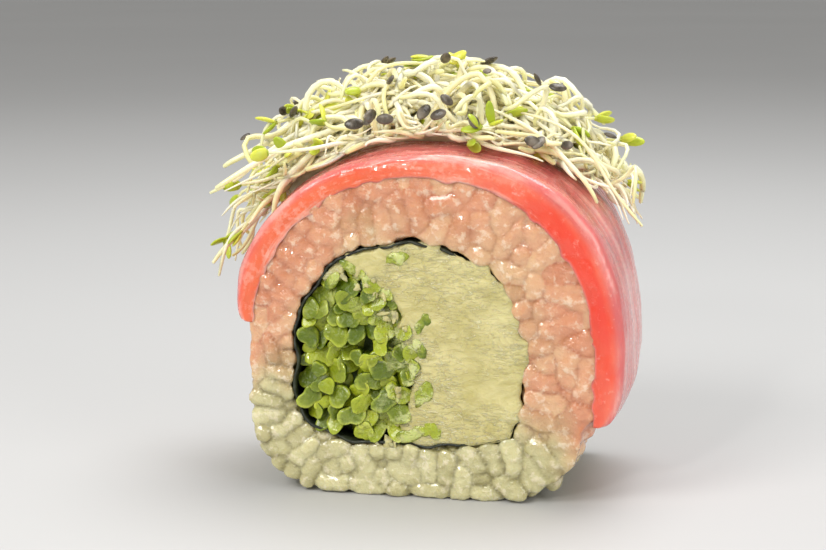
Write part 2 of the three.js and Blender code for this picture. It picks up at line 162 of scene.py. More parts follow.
def ovals(centre, along, thin, size, sides, bands, plump=1.0):
    """Rows of points of many ovals: rings along each one's own axis, whose girth is a circle's to a power."""
    turn = np.linspace(0, 2 * np.pi, sides, endpoint=False)[None, :, None]
    rise = np.linspace(0, np.pi, bands + 1)[:, None, None]
    girth = np.sin(rise) ** plump
    across = np.cross(along, thin)[:, None, None]
    along, thin, centre = along[:, None, None], thin[:, None, None], centre[:, None, None]
    length, width, thickness = (0.5 * size[:, k, None, None, None] for k in range(3))
    flat = width * girth * np.cos(turn) * across + thickness * girth * np.sin(turn) * thin
    return centre + flat - length * np.cos(rise) * along


def grid_faces(rows, columns, round_rows=False, round_columns=False):
    """Four-cornered faces between a grid's points; a round direction joins its last line to its first."""
    index = np.arange(rows * columns).reshape(rows, columns)
    if round_rows:
        index = np.vstack([index, index[:1]])
    if round_columns:
        index = np.hstack([index, index[:, :1]])
    corners = [index[:-1, :-1], index[:-1, 1:], index[1:, 1:], index[1:, :-1]]
    return np.stack(corners, axis=-1).reshape(-1, 4)


def outward(points, faces):
    """The faces in an order of corners that encloses a positive volume."""
    volume = 0
    for corners in faces:
        for k in range(1, corners.shape[1] - 1):
            a, b, c = (points[corners[:, j]] for j in (0, k, k + 1))
            volume += (a * np.cross(b, c)).sum()
    return faces if volume > 0 else [corners[:, ::-1] for corners in faces]


def closed_skins(rows):
    """Points and faces of many closed skins: rings of points, of which the first and the last are poles."""
    count, rings, sides = rows.shape[:3]
    middle = rows[:, 1:-1].reshape(count, -1, 3)
    points = np.concatenate([rows[:, :1, 0], middle, rows[:, -1:, 0]], axis=1)
    size = points.shape[1]
    first = np.arange(1, sides + 1)
    last = first + size - 2 - sides
    start = np.stack([np.zeros(sides, int), np.roll(first, -1), first], axis=1)
    end = np.stack([np.full(sides, size - 1), last, np.roll(last, -1)], axis=1)
    shift = size * np.arange(count)[:, None, None]
    faces = [grid_faces(rings - 2, sides, round_columns=True) + 1, np.vstack([start, end])]
    points = points.reshape(-1, 3)
    return points, outward(points, [(f + shift).reshape(-1, f.shape[1]) for f in faces])


def joined(parts):
    """Several (points, faces, values) parts as one, with each part's faces counted on from the one before."""
    points = np.concatenate([p for p, _, _ in parts])
    firsts = np.cumsum([0] + [len(p) for p, _, _ in parts])
    faces = [f + first for (_, group, _), first in zip(parts, firsts) for f in group]
    names = parts[0][2].keys()
    return points, faces, {name: np.concatenate([values[name] for _, _, values in parts]) for name in names}


def make_mesh(name, points, faces):
    """A smooth mesh from its points, as they are, and its faces."""
    mesh = bpy.data.meshes.new(name)
    sizes = np.concatenate([np.full(len(f), f.shape[1]) for f in faces])
    mesh.vertices.add(len(points))
    mesh.vertices.foreach_set("co", points.ravel())
    mesh.loops.add(sizes.sum())
    mesh.loops.foreach_set("vertex_index", np.concatenate([f.ravel() for f in faces]))
    mesh.polygons.add(len(sizes))
    mesh.polygons.foreach_set("loop_start", np.cumsum(sizes) - sizes)
    mesh.polygons.foreach_set("use_smooth", np.ones(len(sizes), bool))
    mesh.update(calc_edges=True)
    return mesh


def make_piece(name, points, faces, values, finish):
    """An object in metres with its finish; values are numbers that the finish reads at each point."""
    mesh = make_mesh(name, points * 0.001, faces)
    for key, numbers in values.items():
        kind, field = ("FLOAT", "value") if numbers.ndim == 1 else ("FLOAT_VECTOR", "vector")
        mesh.attributes.new(key, kind, "POINT").data.foreach_set(field, numbers.astype(np.float32).ravel())
    mesh.materials.append(finish)
    piece = bpy.data.objects.new(name, mesh)
    bpy.context.collection.objects.link(piece)
    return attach(piece, "root")


class Wire:
    """A shader socket with arithmetic: an expression on it adds the Math nodes that work it out."""

    def __init__(self, tree, socket=None):
        self.tree = tree
        self.socket = socket

    def node(self, kind, settings, inputs, output=0):
        """Adds a node: its settings first, then a number or a wire for each input, named or numbered."""
        node = self.tree.nodes.new(kind)
        for key, setting in settings.items():
            setattr(node, key, setting)
        for key, value in inputs.items():
            if isinstance(value, Wire):
                self.tree.links.new(value.socket, node.inputs[key])
            else:
                node.inputs[key].default_value = value
        return Wire(self.tree, node.outputs[output]) if len(node.outputs) else None

    def maths(self, operation, *terms):
        """One Math node over one, two or three terms."""
        return self.node("ShaderNodeMath", {"operation": operation}, dict(enumerate(terms)))

    def __add__(self, other):
        return self.maths("ADD", self, other)

    def __radd__(self, other):
        return self.maths("ADD", other, self)

    def __sub__(self, other):
        return self.maths("SUBTRACT", self, other)

    def __rsub__(self, other):
        return self.maths("SUBTRACT", other, self)

    def __mul__(self, other):
        return self.maths("MULTIPLY", self, other)

    def __rmul__(self, other):
        return self.maths("MULTIPLY", other, self)

    def ramp(self, low, high, start=0.0, end=1.0):
        """Eases from start to end as the wire goes from low to high."""
        return self.node("ShaderNodeMapRange", {"interpolation_type": "SMOOTHSTEP"},
                         {"Value": self, "From Min": low, "From Max": high, "To Min": start, "To Max": end})

    def mix(self, first, second):
        """A colour that goes from the first to the second as the wire goes from 0 to 1."""
        return self.node("ShaderNodeMix", {"data_type": "RGBA"}, {0: self, 6: first, 7: second}, 2)

    def attribute(self, name, output="Fac"):
        return self.node("ShaderNodeAttribute", {"attribute_name": name}, {}, output)

    def noise(self, vector, scale, detail=2.0, roughness=0.5, distortion=0.0):
        return self.node("ShaderNodeTexNoise", {}, {"Vector": vector, "Scale": scale, "Detail": detail,
                                                    "Roughness": roughness, "Distortion": distortion})

    def bump(self, height, strength, distance):
        """The normal of a surface raised by a height, in metres at full strength."""
        return self.node("ShaderNodeBump", {}, {"Height": height, "Strength": strength, "Distance": distance})

    def stretched(self, factors):
        """The vector with each of its axes multiplied, so that a noise on it is drawn out."""
        return self.node("ShaderNodeVectorMath", {"operation": "MULTIPLY"}, {0: self, 1: factors})


def new_finish(name):
    """An empty material, with a wire that starts its nodes and its object coordinates."""
    material = bpy.data.materials.new(name)
    material.use_nodes = True
    material.node_tree.nodes.clear()
    start = Wire(material.node_tree)
    return material, start, start.node("ShaderNodeTexCoord", {}, {}, "Object")


def surface(material, start, inputs):
    """The material, ended in one Principled shader with these inputs."""
    shader = start.node("ShaderNodeBsdfPrincipled", {}, inputs)
    start.node("ShaderNodeOutputMaterial", {}, {"Surface": shader})
    return material


def rice_finish():
    """Wet translucent grains with painted shade where they meet and painted pale highlights on them, tinted by
    the fish's own stain and by painted warm light bounced off it.
    """
    material, start, place = new_finish("rice")
    tone, stain, seam = (start.attribute(name) for name in ("tone", "stain", "seam"))
    patch = start.noise(place, 130, 3, 0.6)
    cloud = start.noise(place, 330, 4, 0.6)
    veil = start.noise(place, 950, 3, 0.6)
    film = start.noise(place, 2600, 2)
    # The warm tint under the fish is partly the fish's real stain and partly painted warm light bounced off the
    # fish.
    dip = (stain * 1.15 + (patch - 0.5) * 0.75 + (tone - 0.5) * 0.1).ramp(0.1, 0.8)
    # Painted shade: the seam term darkens the grains where two meet; cloud and tone vary their colour at random.
    height = (cloud * 0.8 + tone * 0.3 - seam * (0.5 - dip * 0.1)).ramp(0.0, 0.75)
    plain = height.mix((0.33, 0.29, 0.11, 1), (0.66, 0.62, 0.34, 1))
    warm = height.mix((0.52, 0.155, 0.06, 1), (0.76, 0.35, 0.195, 1))
    pale = (cloud * 0.5 + tone * 0.5).ramp(0.45, 0.8)
    colour = (dip * (0.95 - pale * 0.25)).mix(plain, warm)
    # Painted highlight: pale patches away from the seams stand in for wet glints and light glowing through the
    # grains.
    colour = (veil.ramp(0.52, 0.68) * (1 - seam) * 0.45).mix(colour, (0.94, 0.84, 0.66, 1))
    return surface(material, start, {
        "Base Color": colour, "Roughness": veil.ramp(0.3, 0.7, 0.08, 0.24), "IOR": 1.42,
        "Subsurface Weight": 0.7, "Subsurface Radius": (1.0, 0.85, 0.6), "Subsurface Scale": 0.0011,
        "Coat Weight": 1.0, "Coat Roughness": 0.03, "Coat IOR": 1.6,
        "Normal": start.bump(veil + cloud * 0.9 + film * 0.2, 0.8, 0.0005)})


def near_face(y, fade):
    """1 at the cut faces, easing to 0 inside over a depth."""
    return np.clip(1 - (HALF - np.abs(y)) / fade, 0, 1)


def pressed(points, level):
    """Points pushed back behind what presses the rice: seaweed, fish, the knife's two cuts and the board."""
    x, y, z = points.reshape(-1, 3).T
    within, nx, nz, _ = past(WRAP, x, z)
    slip = 0.4 * np.clip(waves(stacked(x, z, y), 3.5, 14), 0, 1) * near_face(y, 0.8)
    inner = np.maximum(0, 0.02 - slip - within)
    x, z = x + inner * nx, z + inner * nz
    out, nx, nz, angle = past(RICE, x, z)
    covered = under_fish(angle, 2.0)
    excess = np.maximum(0, out - 0.35 * covered)
    give = excess * np.where(covered > 0.5, 1, 0.6)
    x, z = x - give * nx, z - give * nz
    face = HALF - 0.4 - level.ravel() * (1 - 0.5 * covered)
    y = np.sign(y) * (np.minimum(np.abs(y), face) + 0.32 * np.maximum(0, np.abs(y) - face))
    return stacked(x, y, np.maximum(z, 0)).reshape(points.shape)


def cells(spot, size, seed):
    """Rounded cells like pressed grains: height 1 at the middle of each, falling to 0 at its border."""
    random = np.random.default_rng(seed)
    low, high = spot.min((0, 1)) - size, spot.max((0, 1)) + size
    count = int(np.prod(high - low) / size**2)
    middles = random.uniform(low, high, (count, 2))
    for _ in range(12):
        away = middles[:, None] - middles[None]
        gap = np.linalg.norm(away, axis=-1) + np.eye(count) * 99
        middles = middles + (away * (np.maximum(0, 1.05 * size - gap) / gap * 0.35)[..., None]).sum(1)
    squeeze = np.array([1, 1.25])
    far = np.linalg.norm((spot[:, :, None] - middles) * squeeze, axis=-1)
    nearest = np.sort(far, axis=-1)[..., :2]
    return 1 - np.exp(-(nearest[..., 1] - nearest[..., 0]) / (0.3 * size))


def rice_body():
    """The closed ring under the grains, whose cut faces look like grains pressed together."""
    around, across, deep = 360, 26, 16
    turns = np.linspace(0, 2 * np.pi, around, endpoint=False)[:, None]
    share = np.concatenate(
        [np.zeros(deep), np.linspace(0, 1, across), np.ones(deep), np.linspace(1, 0, across)])
    depth = np.linspace(-1, 1, deep + 2)[1:-1]
    side = np.concatenate([depth, np.ones(across), depth[::-1], -np.ones(across)])
    inner = over(WRAP, turns, 0, 0.35)
    outer = over(RICE, turns, 0, 1.45 * under_fish(turns, 5.0) - 1.15)
    spot = inner + (outer - inner) * share[:, None]
    height = cells(spot[..., ::2], 2.9, 15)
    stain = under_fish(turns, 26.0)
    inset = 0.8 - 0.3 * stain - 0.4 * height + 0.2 * waves(spot[..., ::2], 7, 16, 2)
    y = side * (HALF - np.maximum(inset, 0.12))
    points = stacked(spot[..., 0], y, spot[..., 2]).reshape(-1, 3)
    return points, outward(points, [grid_faces(around, len(share), True, True)])


def merged(points, faces, step):
    """Points and faces of one closed skin round parts that overlap, found on a grid of cubes of a step."""
    mesh = make_mesh("rough", points, faces)
    rough = bpy.data.objects.new("rough", mesh)
    bpy.context.collection.objects.link(rough)
    remesh = rough.modifiers.new("merge", "REMESH")
    remesh.mode = "VOXEL"
    remesh.voxel_size = step
    skin = rough.evaluated_get(bpy.context.evaluated_depsgraph_get()).to_mesh()
    points = np.empty(len(skin.vertices) * 3)
    skin.vertices.foreach_get("co", points)
    corners = np.empty(len(skin.loops), int)
    skin.loops.foreach_get("vertex_index", corners)
    bpy.data.objects.remove(rough)
    bpy.data.meshes.remove(mesh)
    return points.reshape(-1, 3), corners.reshape(-1, 4)


def smoothed(points, faces, rounds):
    """Points drawn halfway to the mean of their neighbours along the faces' sides, for some rounds."""
    tail, head = faces.ravel(), np.roll(faces, -1, axis=1).ravel()
    number = np.bincount(tail, minlength=len(points))[:, None]
    for _ in range(rounds):
        total = np.stack([np.bincount(tail, points[head, k], len(points)) for k in range(3)], axis=-1)
        points = 0.5 * (points + total / number)
    return points


def normals(points, faces):
    """Outward direction at each point: the sum of its faces' areas, each from the face's two diagonals."""
    a, b, c, d = (points[faces[:, k]] for k in range(4))
    area = np.repeat(np.cross(c - a, d - b), 4, axis=0)
    return unit(np.stack([np.bincount(faces.ravel(), area[:, k], len(points)) for k in range(3)], axis=-1))


def nearest_grains(points, balls):
    """Number of the nearest rod for each point, and how much further off the next one is, in blocks."""
    found, margins = [], []
    for block in np.array_split(points.astype(np.float32), 40):
        square = (block**2).sum(1)[:, None] + (balls**2).sum(1) - 2 * block @ balls.T
        far = np.sqrt(np.maximum(square, 0)).reshape(len(block), -1, 3).min(-1)
        two = np.argpartition(far, 1, axis=1)[:, :2]
        reach = np.take_along_axis(far, two, axis=1)
        found.append(np.where(reach[:, 0] <= reach[:, 1], two[:, 0], two[:, 1]))
        margins.append(np.abs(reach[:, 1] - reach[:, 0]))
    return np.concatenate(found), np.concatenate(margins)


def rice_ring():
    """Settled grains, without those out of sight, and the ring's body, stuck together into one skin."""
    random = np.random.default_rng(4)
    centre, way = settled_grains(GRAIN_COUNT, 11)
    out, _, _, angle = past(RICE, centre[:, 0], centre[:, 2])
    seen = (HALF - np.abs(centre[:, 1]) < 3.6) | ((out > -3.4) & (under_fish(angle, 8.0) < 1))
    centre, way = centre[seen], way[seen]
    thin = unit(np.cross(way, random.normal(size=way.shape)))
    size = GRAIN_SIZE * random.uniform(0.88, 1.1, (len(way), 3))
    rows = ovals(centre, way, thin, size, 12, 9, plump=0.8)
    along = ((rows - centre[:, None, None]) * way[:, None, None]).sum(-1)
    bend = random.uniform(0.01, 0.05, len(way))[:, None, None]
    rows = rows + (bend * along**2)[..., None] * thin[:, None, None]
    level = np.broadcast_to(random.uniform(0, 0.75, (len(way), 1, 1)), rows.shape[:3])
    grains, grain_faces = closed_skins(pressed(rows, level))
    body, body_faces = rice_body()
    points, faces, _ = joined([(grains, grain_faces, {}), (body, body_faces, {})])
    points, faces = merged(points, faces, RICE_STEP)
    points = smoothed(points, faces, 2)
    nearest, margin = nearest_grains(points, three_balls(centre, way))
    out, _, _, angle = past(RICE, points[:, 0], points[:, 2])
    covered = under_fish(angle, 4.0)
    free = np.clip(0.75 + 0.7 * waves(points, 7, 17, 2), 0.25, 1) * (1 - 0.55 * hump(angle, 1.75, 0.95))
    groove = (0.47 - 0.18 * covered) * free * np.exp(-margin / (0.9 * GROOVE))
    groove = groove + 0.12 * waves(points, 2.2, 18, 2)
    points = points - groove[:, None] * normals(points, faces)
    points[:, 2] = np.maximum(points[:, 2], 0)
    # Stain: the fish's real stain on the rice together with painted warm light bounced off the fish, strongest
    # next to it.
    stain = under_fish(angle, 30.0) * (0.45 + 0.55 * np.exp(out / 3.0))
    tone = random.uniform(0, 1, len(way))[nearest]
    # Seam marks where two grains meet; the finish paints shade there.
    seam = np.exp(-margin / GROOVE) * (0.35 + 0.65 * free)
    return points, [faces], {"tone": tone, "seam": seam, "stain": stain}


points, faces, values = rice_ring()
rice = make_piece("rice_grains", points, faces, values, rice_finish())
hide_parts("rice")

# The seaweed
# One sheet of roasted seaweed, wrapped once round the filling before the rice went on. It has drawn damp from
# both, so it is soft, crinkled and nearly black, and the knife left its cut edges a little torn and sunken.

WRAP_THICKNESS = 0.3


def seaweed_sheet():
    """A thin band round the outline: both walls shift with the crinkles, and its cut edges wander."""
    around, columns = 420, 26
    turns = np.linspace(0, 2 * np.pi, around, endpoint=False)[:, None]
    across = np.linspace(-1, 1, columns)[None]
    ring = np.concatenate([np.cos(turns), np.sin(turns)], axis=1)[:, None] * 14
    flat = stacked(ring[..., 0], ring[..., 1], across * HALF)
    crinkle = 0.1 * waves(flat, 3.2, 31)
    right = hump((turns + np.pi) % (2 * np.pi) - np.pi, 0.22, 0.62)
    torn = 0.5 + 0.9 * waves(ring[:, 0], 3.4, 32)[:, None]
    edge = HALF - 0.1 - 0.4 * np.clip(torn, 0, 1.4) - 1.1 * right
    walls = [over(WRAP, turns, across * edge, crinkle - 0.04),
             over(WRAP, turns, across[:, ::-1] * edge, crinkle[:, ::-1] - WRAP_THICKNESS)]
    points = np.concatenate(walls, axis=1).reshape(-1, 3)
    return points, outward(points, [grid_faces(around, 2 * columns, True, True)])


def seaweed_finish():
    """Black-green, with a faint olive bloom and a damp sheen over fine crinkles."""
    material, start, place = new_finish("seaweed")
    cloud = start.noise(place, 420, 4, 0.6)
    fine = start.noise(place, 1900, 3)
    return surface(material, start, {
        "Base Color": cloud.ramp(0.35, 0.75).mix((0.008, 0.010, 0.006, 1), (0.035, 0.045, 0.018, 1)),
        "Roughness": fine.ramp(0.3, 0.7, 0.3, 0.6),
        "Normal": start.bump(cloud + fine * 0.5, 0.5, 0.0003)})


points, faces = seaweed_sheet()
seaweed = make_piece("seaweed_wrap", points, faces, {}, seaweed_finish())
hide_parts("nori")

# The soft cheese
# Full-fat cream cheese, piped beside the stalks before rolling. The knife dragged it into fine level ridges
# on the cut faces, with torn crumbs between, and smeared a little of it over the stalk ends next to it.

BUNDLE = {"centre_x": -9.1, "centre_z": 15.9, "half_width": 8.9, "half_height": 11.9}
CHEESE_EDGE = -0.36


def bundle_reach(angle, grow=0.0):
    """Distance from the bundle's middle to its wavy oval edge, along a ray at a polar angle."""
    wave = 0.35 * np.sin(5 * angle + 0.6) + grow
    wide, tall = BUNDLE["half_width"] + wave, BUNDLE["half_height"] + wave
    return 1 / np.hypot(np.cos(angle) / wide, np.sin(angle) / tall)


def from_bundle(reach, angle):
    """Across and up from the bundle's middle by a distance at a polar angle."""
    return BUNDLE["centre_x"] + reach * np.cos(angle), BUNDLE["centre_z"] + reach * np.sin(angle)


def ray_to_wrap(angle, grow):
    """Distance from the bundle's middle to the filling's edge along rays, by halving what holds it."""
    near, far = np.zeros_like(angle), np.full_like(angle, 40.0)
    for _ in range(30):
        middle = (near + far) / 2
        out = past(WRAP, *from_bundle(middle, angle))[0]
        near, far = np.where(out < grow, middle, near), np.where(out < grow, far, middle)
    return near


def capped(grid):
    """One closed skin of rings, with a pole at the middle of the first ring and of the last."""
    start, end = grid[:1].mean(1, keepdims=True), grid[-1:].mean(1, keepdims=True)
    start, end = (np.broadcast_to(pole, grid[:1].shape) for pole in (start, end))
    return closed_skins(np.concatenate([start, grid, end])[None])


def cheese_block():
    """A crescent from the bundle's edge to the wrap: each ray carries a loop over front, wall and back."""
    rays, front, wall = 300, 74, 14
    angle = np.linspace(np.radians(-68), np.radians(112), rays)
    inner = bundle_reach(angle, -0.25)
    outer = np.maximum(ray_to_wrap(angle, CHEESE_EDGE), inner + 0.02)
    share = np.concatenate([np.linspace(0, 1, front), np.ones(wall), np.linspace(1, 0, front), np.zeros(wall)])
    depth = np.concatenate([
        -np.ones(front), np.linspace(-0.92, 0.92, wall), np.ones(front), np.linspace(0.92, -0.92, wall)])
    right = hump(angle, np.radians(14), 0.62)
    shy = 0.5 + 0.6 * right - 0.9 * hump(angle, np.radians(100), 0.5)
    ray = stacked(np.cos(angle), np.sin(angle))
    over_edge = np.clip(shy + waves(ray * 20, 5, 44), 0, 1)
    over_edge = over_edge * (0.7 + 0.55 * right)
    outer = outer[:, None] + over_edge[:, None] * near_face(depth * HALF, 1.2)
    torn = 0.2 + waves(ray * 10, 2.6, 45)
    inner = inner[:, None] - 1.5 * np.clip(torn, 0, 1)[:, None] * near_face(depth * HALF, 0.9)
    reach = inner + (outer - inner) * share
    x, z = from_bundle(reach, angle[:, None])
    spot = stacked(x, z)
    drag = z + 0.6 * waves(spot * [0.6, 1], 8, 41) + 0.012 * (z - 12) * x
    ridge = waves(stacked(x, drag), 1.5, 42, 3)
    lumps = waves(spot, 5, 43, 2)
    rim = np.minimum(share, 1 - share) * (outer - inner)
    rounding = 0.5 * np.exp(-rim / 0.35)
    face = HALF - 0.25 + 0.035 * ridge + 0.14 * lumps - rounding
    return capped(stacked(x, depth * face, z))


def cheese_crumbs(count):
    """Small torn crumbs of cheese: lumpy ovals, lying on the stalk ends next to it at both faces."""
    random = np.random.default_rng(47)
    angle = random.uniform(-1.35, 1.7, count)
    reach = bundle_reach(angle) * random.uniform(0.78, 1.02, count)
    side = np.where(np.arange(count) % 2 == 0, 1, -1)
    x, z = from_bundle(reach, angle)
    centre = stacked(x, side * (HALF - random.uniform(0.1, 0.5, count)), z)
    way = unit(stacked(*(strength * random.normal(size=count) for strength in (1, 0.25, 0.6))))
    thin = unit(np.cross(np.cross(way, stacked(0, side, 0)), way))
    size = stacked(*(random.uniform(low, high, count) for low, high in ((0.5, 1.3), (0.4, 0.9), (0.25, 0.5))))
    rows = ovals(centre, way, thin, size, 14, 10)
    lump = 0.7 * waves(rows, 0.9, 48)[..., None]
    rows = rows + lump * (rows - centre[:, None, None])
    rows[..., 1] = np.clip(rows[..., 1], -HALF - 0.1, HALF + 0.1)
    return closed_skins(rows)


def cheese_finish():
    """Pale yellow and soft, with short strokes of the knife, a painted highlight on their crests, and a faint
    sheen.
    """
    material, start, place = new_finish("soft_cheese")
    sway = start.noise(place, 120, 2)
    stroke = start.noise(place.stretched((0.32, 1, 1)), 2100, 3, 0.65, 1.6)
    smear = start.noise(place.stretched((0.55, 1, 1)), 650, 4, 0.6, 1.0)
    cloud = start.noise(place, 220, 3)
    crest = stroke.ramp(0.5, 0.66) * sway.ramp(0.35, 0.6)
    colour = (smear * 0.5 + cloud * 0.5).ramp(0.3, 0.75).mix((0.51, 0.45, 0.17, 1), (0.74, 0.67, 0.34, 1))
    # Painted highlight: the strokes' crests are made paler, standing in for light catching them.
    colour = (crest * 0.7).mix(colour, (0.88, 0.83, 0.54, 1))
    return surface(material, start, {
        "Base Color": colour, "Roughness": cloud.ramp(0.3, 0.7, 0.36, 0.52), "IOR": 1.42,
        "Subsurface Weight": 0.4, "Subsurface Radius": (1.0, 0.8, 0.4), "Subsurface Scale": 0.0012,
        "Coat Weight": 0.1, "Coat Roughness": 0.3,
        "Normal": start.bump(crest * 0.7 + smear * 0.9, 0.75, 0.0005)})


block_points, block_faces = cheese_block()
crumb_points, crumb_faces = cheese_crumbs(44)
points, faces, values = joined([(block_points, block_faces, {}), (crumb_points, crumb_faces, {})])
cheese = make_piece("soft_cheese", points, faces, values, cheese_finish())
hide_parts("cream_cheese")

# The green stalks
# A handful of thin fresh stalks laid side by side along the roll. Cut through, each shows a rounded end with
# a darker skin round paler flesh, some slanted and some sunk, with painted shade in the gaps between them.

STALK_COUNT = 88
STRAYS = [
    (-2.3, 29.6, 3.0, 10), (-8.4, 27.6, 2.4, -30), (-10.9, 26.4, 2.2, 50), (0.0, 21.3, 2.6, 70),
    (0.2, 18.1, 2.6, -60), (0.2, 13.2, 3.0, 80), (1.6, 8.1, 3.4, -15), (-1.2, 7.6, 2.6, 20),
]


def packed_rounds(count, seed):
    """Middles of rounds that fill the bundle: turn by turn, those that overlap part and its edge holds them."""
    random = np.random.default_rng(seed)
    radius = random.uniform(0.9, 1.6, count)
    angle = random.uniform(0, 2 * np.pi, count)
    reach = np.sqrt(random.uniform(0, 1, count)) * 7
    spot = stacked(*from_bundle(reach, angle))
    for _ in range(400):
        away = spot[:, None] - spot[None]
        gap = np.linalg.norm(away, axis=-1) + np.eye(count) * 99
        push = np.maximum(0, 0.78 * (radius[:, None] + radius[None]) - gap) / gap * 0.5
        spot = spot + 0.5 * (away * push[..., None]).sum(1)
        out, nx, nz, _ = past(WRAP, spot[:, 0], spot[:, 1])
        back = np.maximum(0, out + 0.3 + radius)
        spot = spot - back[:, None] * stacked(nx, nz)
        ray = spot - [BUNDLE["centre_x"], BUNDLE["centre_z"]]
        length = np.linalg.norm(ray, axis=-1)
        limit = bundle_reach(np.arctan2(ray[:, 1], ray[:, 0])) - radius * 0.75
        spot = spot - ray * (np.maximum(0, length - limit) / length)[:, None]
    return spot, radius


def stalks():
    """Rods along the roll: uneven ovals for rings, and nearly flat cuts with a rounded edge for ends.

    From the pole at a cut to the rod's side, each ring has its inset behind the cut, its share of the girth
    and its zone, which the finish reads as flesh, a rim with a painted highlight, or skin.
    """
    random = np.random.default_rng(52)
    spot, radius = packed_rounds(STALK_COUNT, 51)
    inset = np.array([0.0, 0.0, 0.01, 0.03, 0.1, 0.28, 0.7])
    girth = np.array([0.0, 0.4, 0.7, 0.86, 0.95, 0.99, 1.0])
    zone = np.array([0.0, 0.4, 0.7, 0.86, 1.0, 1.2, 1.4])
    side_count = 22
    turn = np.linspace(0, 2 * np.pi, side_count, endpoint=False)
    corner = random.uniform(0, 6.3, STALK_COUNT)[:, None]
    oval = random.uniform(0.05, 0.32, STALK_COUNT)[:, None]
    shape = 1 + oval * np.sin(2 * turn + 2 * corner) + 0.1 * np.sin(3 * turn + corner)
    shape = shape + 0.05 * np.sin(5 * turn + 7 * corner)
    slant = random.normal(size=(STALK_COUNT, 2, 2)) * [0.42, 0.38] + [0.0, 0.35]
    sink = random.uniform(-0.1, 1.7, (STALK_COUNT, 2)) + 1.2 * (random.uniform(0, 1, (STALK_COUNT, 2)) < 0.15)
    lean = random.normal(size=(STALK_COUNT, 2)) * 0.02
    ends = []
    for end, side in enumerate((-1, 1)):
        flat = girth[None, :, None] * (radius[:, None] * shape)[:, None]
        dx, dz = flat * np.cos(turn), flat * np.sin(turn)
        tilt = slant[:, end, 0, None, None] * dx + slant[:, end, 1, None, None] * dz
        out = HALF - sink[:, end, None, None] - inset[None, :, None] - tilt
        y = side * (out - 0.8 * np.maximum(0, out - HALF + 0.1))
        x = spot[:, 0, None, None] + dx + lean[:, 0, None, None] * y
        z = spot[:, 1, None, None] + dz + lean[:, 1, None, None] * y
        ends.append(stacked(x, y, z))
    points, faces = closed_skins(np.concatenate([ends[0], ends[1][:, ::-1]], axis=1))
    rings = np.repeat(np.concatenate([zone[1:], zone[:0:-1]]), side_count)
    ring = np.concatenate([zone[:1], rings, zone[:1]])
    tone = np.repeat(random.uniform(0, 1, STALK_COUNT), len(ring))
    return points, faces, {"rim": np.tile(ring, STALK_COUNT), "tone": tone}


def stray_bits():
    """Short bits of stalk dragged onto both faces of the cheese: flattened ovals at listed places."""
    random = np.random.default_rng(54)
    x, z, length, degrees = np.array(STRAYS * 2).T
    side = np.repeat([-1, 1], len(STRAYS))
    x, z = x + random.normal(size=len(x)) * 0.3, z + random.normal(size=len(x)) * 0.3
    way = stacked(np.cos(np.radians(degrees)), 0, np.sin(np.radians(degrees)))
    thin = stacked(0, side, 0)
    size = stacked(length, length * 0.62, 0.5)
    centre = stacked(x, side * (HALF - 0.27), z)
    rows = ovals(centre, way, thin, size, 16, 10)
    rows = rows + 0.35 * waves(rows, 1.6, 55)[..., None] * (rows - centre[:, None, None])
    points, faces = closed_skins(rows)
    tone = np.repeat(random.uniform(0, 0.6, len(x)), len(points) // len(x))
    # Rim 0.9: the finish paints these bits with its pale rim highlight.
    return points, faces, {"rim": np.full(len(points), 0.9), "tone": tone}


def bundle_inside():
    """A filler painted near black as shade in the gaps: the bundle's own oval, held inside the wrap and sunk."""
    angle = np.linspace(0, 2 * np.pi, 96, endpoint=False)
    reach = np.minimum(bundle_reach(angle, -0.5), ray_to_wrap(angle, -0.7))
    share = np.array([0, 0.5, 0.92, 1, 1, 0.92, 0.5, 0])[:, None]
    depth = np.array([-1, -1, -1, -0.97, 0.97, 1, 1, 1])[:, None] * (HALF - 2.4)
    x, z = from_bundle(share * reach, angle)
    points, faces = closed_skins(stacked(x, depth, z)[None])
    return points, faces, {"rim": np.full(len(points), 2.0), "tone": np.zeros(len(points))}


def stalk_finish():
    """Yellow-green flesh in a darker skin, wet and glossy, with a painted highlight in flecks along each cut
    end's rim and painted shade in the gaps.
    """
    material, start, place = new_finish("green_stalk")
    rim, tone = start.attribute("rim"), start.attribute("tone")
    cloud = start.noise(place, 500, 4, 0.6)
    fine = start.noise(place, 1500, 3)
    flesh = (tone * 0.8 + cloud * 0.5).ramp(0.15, 1.0).mix((0.085, 0.135, 0.003, 1), (0.39, 0.45, 0.018, 1))
    # Painted highlight: a pale band along the rounded rim of each cut end, broken up by the cloud.
    pale = (rim.ramp(0.6, 0.95) * cloud.ramp(0.35, 0.6) * 0.7).mix(flesh, (0.53, 0.6, 0.06, 1))
    skin = rim.ramp(1.0, 1.2).mix(pale, (0.07, 0.11, 0.003, 1))
    film = cloud.ramp(0.48, 0.6) * start.attribute("smear")
    smeared = (film * 0.85).mix(skin, (0.64, 0.68, 0.3, 1))
    # Painted shade: the filler in the gaps (rim 2.0) is coloured near black.
    deep = rim.ramp(1.5, 1.9)
    colour = deep.mix(smeared, (0.03, 0.05, 0.004, 1))
    return surface(material, start, {
        "Base Color": colour, "Roughness": fine.ramp(0.3, 0.7, 0.2, 0.42) + deep * 0.4, "IOR": 1.4,
        "Subsurface Weight": 0.25, "Subsurface Radius": (0.5, 0.8, 0.1), "Subsurface Scale": 0.001,
        "Coat Weight": 0.5 - deep * 0.5, "Coat Roughness": 0.08,
        "Normal": start.bump(cloud + fine * 0.6 + film, 0.75, 0.0005)})


